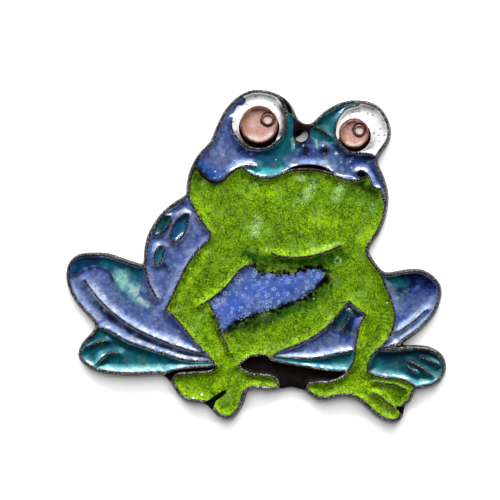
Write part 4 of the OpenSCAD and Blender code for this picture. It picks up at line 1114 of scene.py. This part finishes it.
def ring(name, node, material, width, top):
    """A rounded wire soldered round a pupil or its glint."""
    low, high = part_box(node)
    centre = np.array(((low.x + high.x) / 2, (low.y + high.y) / 2))
    inner = (high.x - low.x) / 2 - RING_GRIP
    outer = inner + width
    bottom, turns, arcs = GLASS_FOOT, 96, 9
    half = (outer - inner) / 2
    profile = [(inner, bottom), (inner, top - half)]
    for k in range(1, arcs):
        turn = math.pi * k / arcs
        profile.append((inner + half - half * math.cos(turn), top - half + half * math.sin(turn)))
    profile += [(outer, top - half), (outer, bottom)]
    points, faces = [], []
    angles = np.arange(turns) * 2 * math.pi / turns
    for r, z in profile:
        flat = centre + r * np.stack([np.cos(angles), np.sin(angles)], 1)
        shake = ripples(flat, 0.5 * MM, 60)
        flat = centre + (flat - centre) * (1 + 0.012 * shake)[:, None]
        lift = 0.03 * MM * shake * (z > bottom)
        points += [(x, y, z + up) for (x, y), up in zip(flat, lift)]
    count = len(profile)
    for k in range(count):
        for t in range(turns):
            a, b = k * turns + t, k * turns + (t + 1) % turns
            c, d = ((k + 1) % count) * turns + (t + 1) % turns, ((k + 1) % count) * turns + t
            faces.append((a, b, c, d))
    return piece(name, points, faces, material, "oxidised_metal", "eye_rings")


# ================================================================ small beads on the glass
def beads(name, material, places):
    """Low glass beads in lighter glass: bubbles come to the surface, and painted glints given a little
    height.
    """
    made = bmesh.new()
    for x, y, r in places:
        at = place(x, y)
        away = to_wall(np.array([at]))
        z = glass_height(np.array([at]), away)[0]
        blob = bmesh.ops.create_uvsphere(made, u_segments=20, v_segments=12, radius=r * MM)
        for v in blob["verts"]:
            v.co.z *= 0.5
            v.co += Vector((*at, z))
    mesh = bpy.data.meshes.new(name)
    made.to_mesh(mesh)
    made.free()
    mesh.polygons.foreach_set("use_smooth", [True] * len(mesh.polygons))
    return hung(name, mesh, material)


def bead_glass(name, low, high):
    n = Nodes(name)
    colour = n.ramp(n.noise(5, 2), (0.35, tuple(INK[low])), (0.6, tuple(INK[high])))
    return n.finish(colour, 0.1, None, **GLOSS)


# Some of these are bubbles and some, such as the two on the nostrils, are painted glints.
BLUE_BEADS = [
    (7.3, 15.4, 0.14), (10.1, 15.35, 0.2), (8.2, 13.3, 0.12), (12.7, 13, 0.14), (14, 13.1, 0.13),
    (14.2, 12.2, 0.13), (-5.3, 11.7, 0.16), (-5.4, 10.8, 0.12), (-4.6, 11, 0.14), (-3.6, 11.8, 0.12),
    (-2.3, 12.8, 0.13), (-2.6, 13.3, 0.12), (12, 14.2, 0.2), (-7.7, 0.2, 0.14), (-8, -1, 0.16),
    (-6.7, -0.4, 0.13), (6, 15.5, 0.15), (3.4, 13.4, 0.1),
]
# Some of these are bubbles and some, such as those at (9.8, 10.3) and (3.4, 6.9), are painted glints.
GREEN_BEADS = [
    (-1.5, 10.3, 0.2), (-1.5, 9.8, 0.15), (8.8, -6.5, 0.27), (1.8, -9.8, 0.15), (-3.5, -18.3, 0.22),
    (-7.2, -20.2, 0.26), (-5.6, -19.4, 0.2), (-8.4, -20.7, 0.2), (2.1, 0.4, 0.18), (9.8, 10.3, 0.14),
    (3.4, 6.9, 0.13), (19.2, -7.1, 0.16), (19, -10.8, 0.16), (15.3, -2.6, 0.14), (-8.9, -2.2, 0.14),
    (-7.6, -1.4, 0.13),
]

# ================================================================ the pendant
metal = dark_metal("oxidised_metal_worn_and_glinting", (0.005, 0.003, 0.003), (0.95, 0.86, 0.86), 1.45, worn_and_glinting=True)
ring_metal = dark_metal("ring_metal_copper", (0.10, 0.034, 0.028), (0.9, 0.66, 0.6), 0.75)
blue_glass = clouded_glass("bubbly_blue_glass")
teal_glass = clouded_glass("clear_teal_glass", bubbly=False)
belly_glass = bubbled_glass("bubbled_glass")
green_glass = grained_glass("grained_glass")
eye_glass = white_glass("white_glass")
pupil_glass = copper_glass("copper_glass")

casting(metal)

ring("left_pupil_ring", "left_pupil", ring_metal, 0.3 * MM, RING_TOP)
ring("left_glint_ring", "left_glint", ring_metal, 0.26 * MM, RING_TOP)
ring("right_pupil_ring", "right_pupil", ring_metal, 0.3 * MM, RING_TOP)
ring("right_glint_ring", "right_glint", ring_metal, 0.26 * MM, RING_TOP)

SLOTS = {"green_body": "green_enamel", "left_thigh_navy": "navy_enamel", "right_thigh_navy": "navy_enamel"}
for name in PAINT:
    if name.endswith("_eye_white"):
        side = name.split("_")[0]
        field(name, eye_glass, "white_enamel", pitted(PAINT[name]), eye_height(side), EYE_STEP)
    elif name.endswith(("_pupil", "_glint")):
        field(name, pupil_glass, "copper_pink_enamel", PAINT[name], pupil_height, PUPIL_STEP)
    elif name == "green_body":
        field(name, green_glass, "green_enamel", PAINT[name], grain_height)
    elif name == "belly_blue":
        field(name, belly_glass, "periwinkle_enamel", PAINT[name], grain_height)
    else:
        slot = SLOTS.get(name, "teal_enamel" if "teal" in name or "spot" in name else "periwinkle_enamel")
        field(name, blue_glass if slot == "periwinkle_enamel" else teal_glass, slot, PAINT[name])

beads("green_beads", bead_glass("green_bead_glass", "haze", "white"), GREEN_BEADS)
beads("blue_beads", bead_glass("blue_bead_glass", "lavender", "pale_blue"), BLUE_BEADS)

# ================================================================ stage, light, camera
ROOM_LOW, ROOM_HIGH = 1.3, 0.03     # the room's light level near the floor and straight up
FLOOR_HALF = 0.4                    # half the width of the white ground, in metres
LENS, SENSOR = 135, 36              # in mm
VIEW_ACROSS = 71.4 * MM             # how much of the scene the picture's width takes in
VIEW_MIDDLE = Vector((-0.72 * MM, 0.7 * MM, GLASS_TOP))
VIEW_TILT, VIEW_TURN = 3.5, 38      # degrees from straight down, and towards which side


def floor():
    mesh = bpy.data.meshes.new("floor")
    half = FLOOR_HALF
    corners = [(-half, -half, 0), (half, -half, 0), (half, half, 0), (-half, half, 0)]
    mesh.from_pydata(corners, [], [(0, 1, 2, 3)])
    mesh.materials.append(paper("white_paper"))
    thing = linked("floor", mesh)


def panel(name, polar, azimuth, distance, width, height, power, mirrored=True):
    """A soft panel that faces the pendant. polar is from straight up, azimuth clockwise from north."""
    data = bpy.data.lights.new(name, "AREA")
    data.shape = "RECTANGLE"
    data.size, data.size_y, data.energy = width, height, power
    thing = linked(name, data)
    p, a = math.radians(polar), math.radians(azimuth)
    way = Vector((math.sin(p) * math.sin(a), math.sin(p) * math.cos(a), math.cos(p)))
    thing.location = way * distance
    thing.rotation_mode = "QUATERNION"
    thing.rotation_quaternion = way.to_track_quat("Z", "Y")
    thing.visible_glossy = mirrored


def look():
    """The camera: almost straight down, from a little to the south-east, with a long lens."""
    data = bpy.data.cameras.new("camera")
    data.lens, data.sensor_width = LENS, SENSOR
    data.clip_start, data.clip_end = 0.01, 5
    thing = linked("camera", data)
    distance = VIEW_ACROSS * LENS / SENSOR
    tilt, turn = math.radians(VIEW_TILT), math.radians(VIEW_TURN)
    way = Vector((math.sin(tilt) * math.sin(turn), -math.sin(tilt) * math.cos(turn), math.cos(tilt)))
    up = Vector((0, 1, 0))
    right = up.cross(way).normalized()
    up = way.cross(right)
    turned = Matrix((right, up, way)).transposed().to_4x4()
    thing.matrix_world = Matrix.Translation(VIEW_MIDDLE + way * distance) @ turned
    bpy.context.scene.camera = thing


def room():
    """Soft light from all round, brightest low down, so that a flat gloss stays deep in colour."""
    world = bpy.data.worlds.new("room")
    world.use_nodes = True
    tree = world.node_tree
    way = tree.nodes.new("ShaderNodeTexCoord")
    parts = tree.nodes.new("ShaderNodeSeparateXYZ")
    fade = tree.nodes.new("ShaderNodeMapRange")
    for key, value in {"From Min": 0.0, "From Max": 1.0, "To Min": ROOM_LOW, "To Max": ROOM_HIGH}.items():
        fade.inputs[key].default_value = value
    tree.links.new(way.outputs["Generated"], parts.inputs[0])
    tree.links.new(parts.outputs["Z"], fade.inputs["Value"])
    tree.links.new(fade.outputs["Result"], tree.nodes["Background"].inputs["Strength"])
    bpy.context.scene.world = world


floor()
panel("north_window", 50, 0, 0.5, 0.7, 0.07, 3.2)
panel("north_sky", 34, 0, 0.6, 0.7, 0.6, 5.2, mirrored=False)
panel("overhead", 0, 0, 0.8, 0.9, 0.9, 3.1, mirrored=False)
room()
bpy.context.scene.view_settings.view_transform = "Standard"
look()
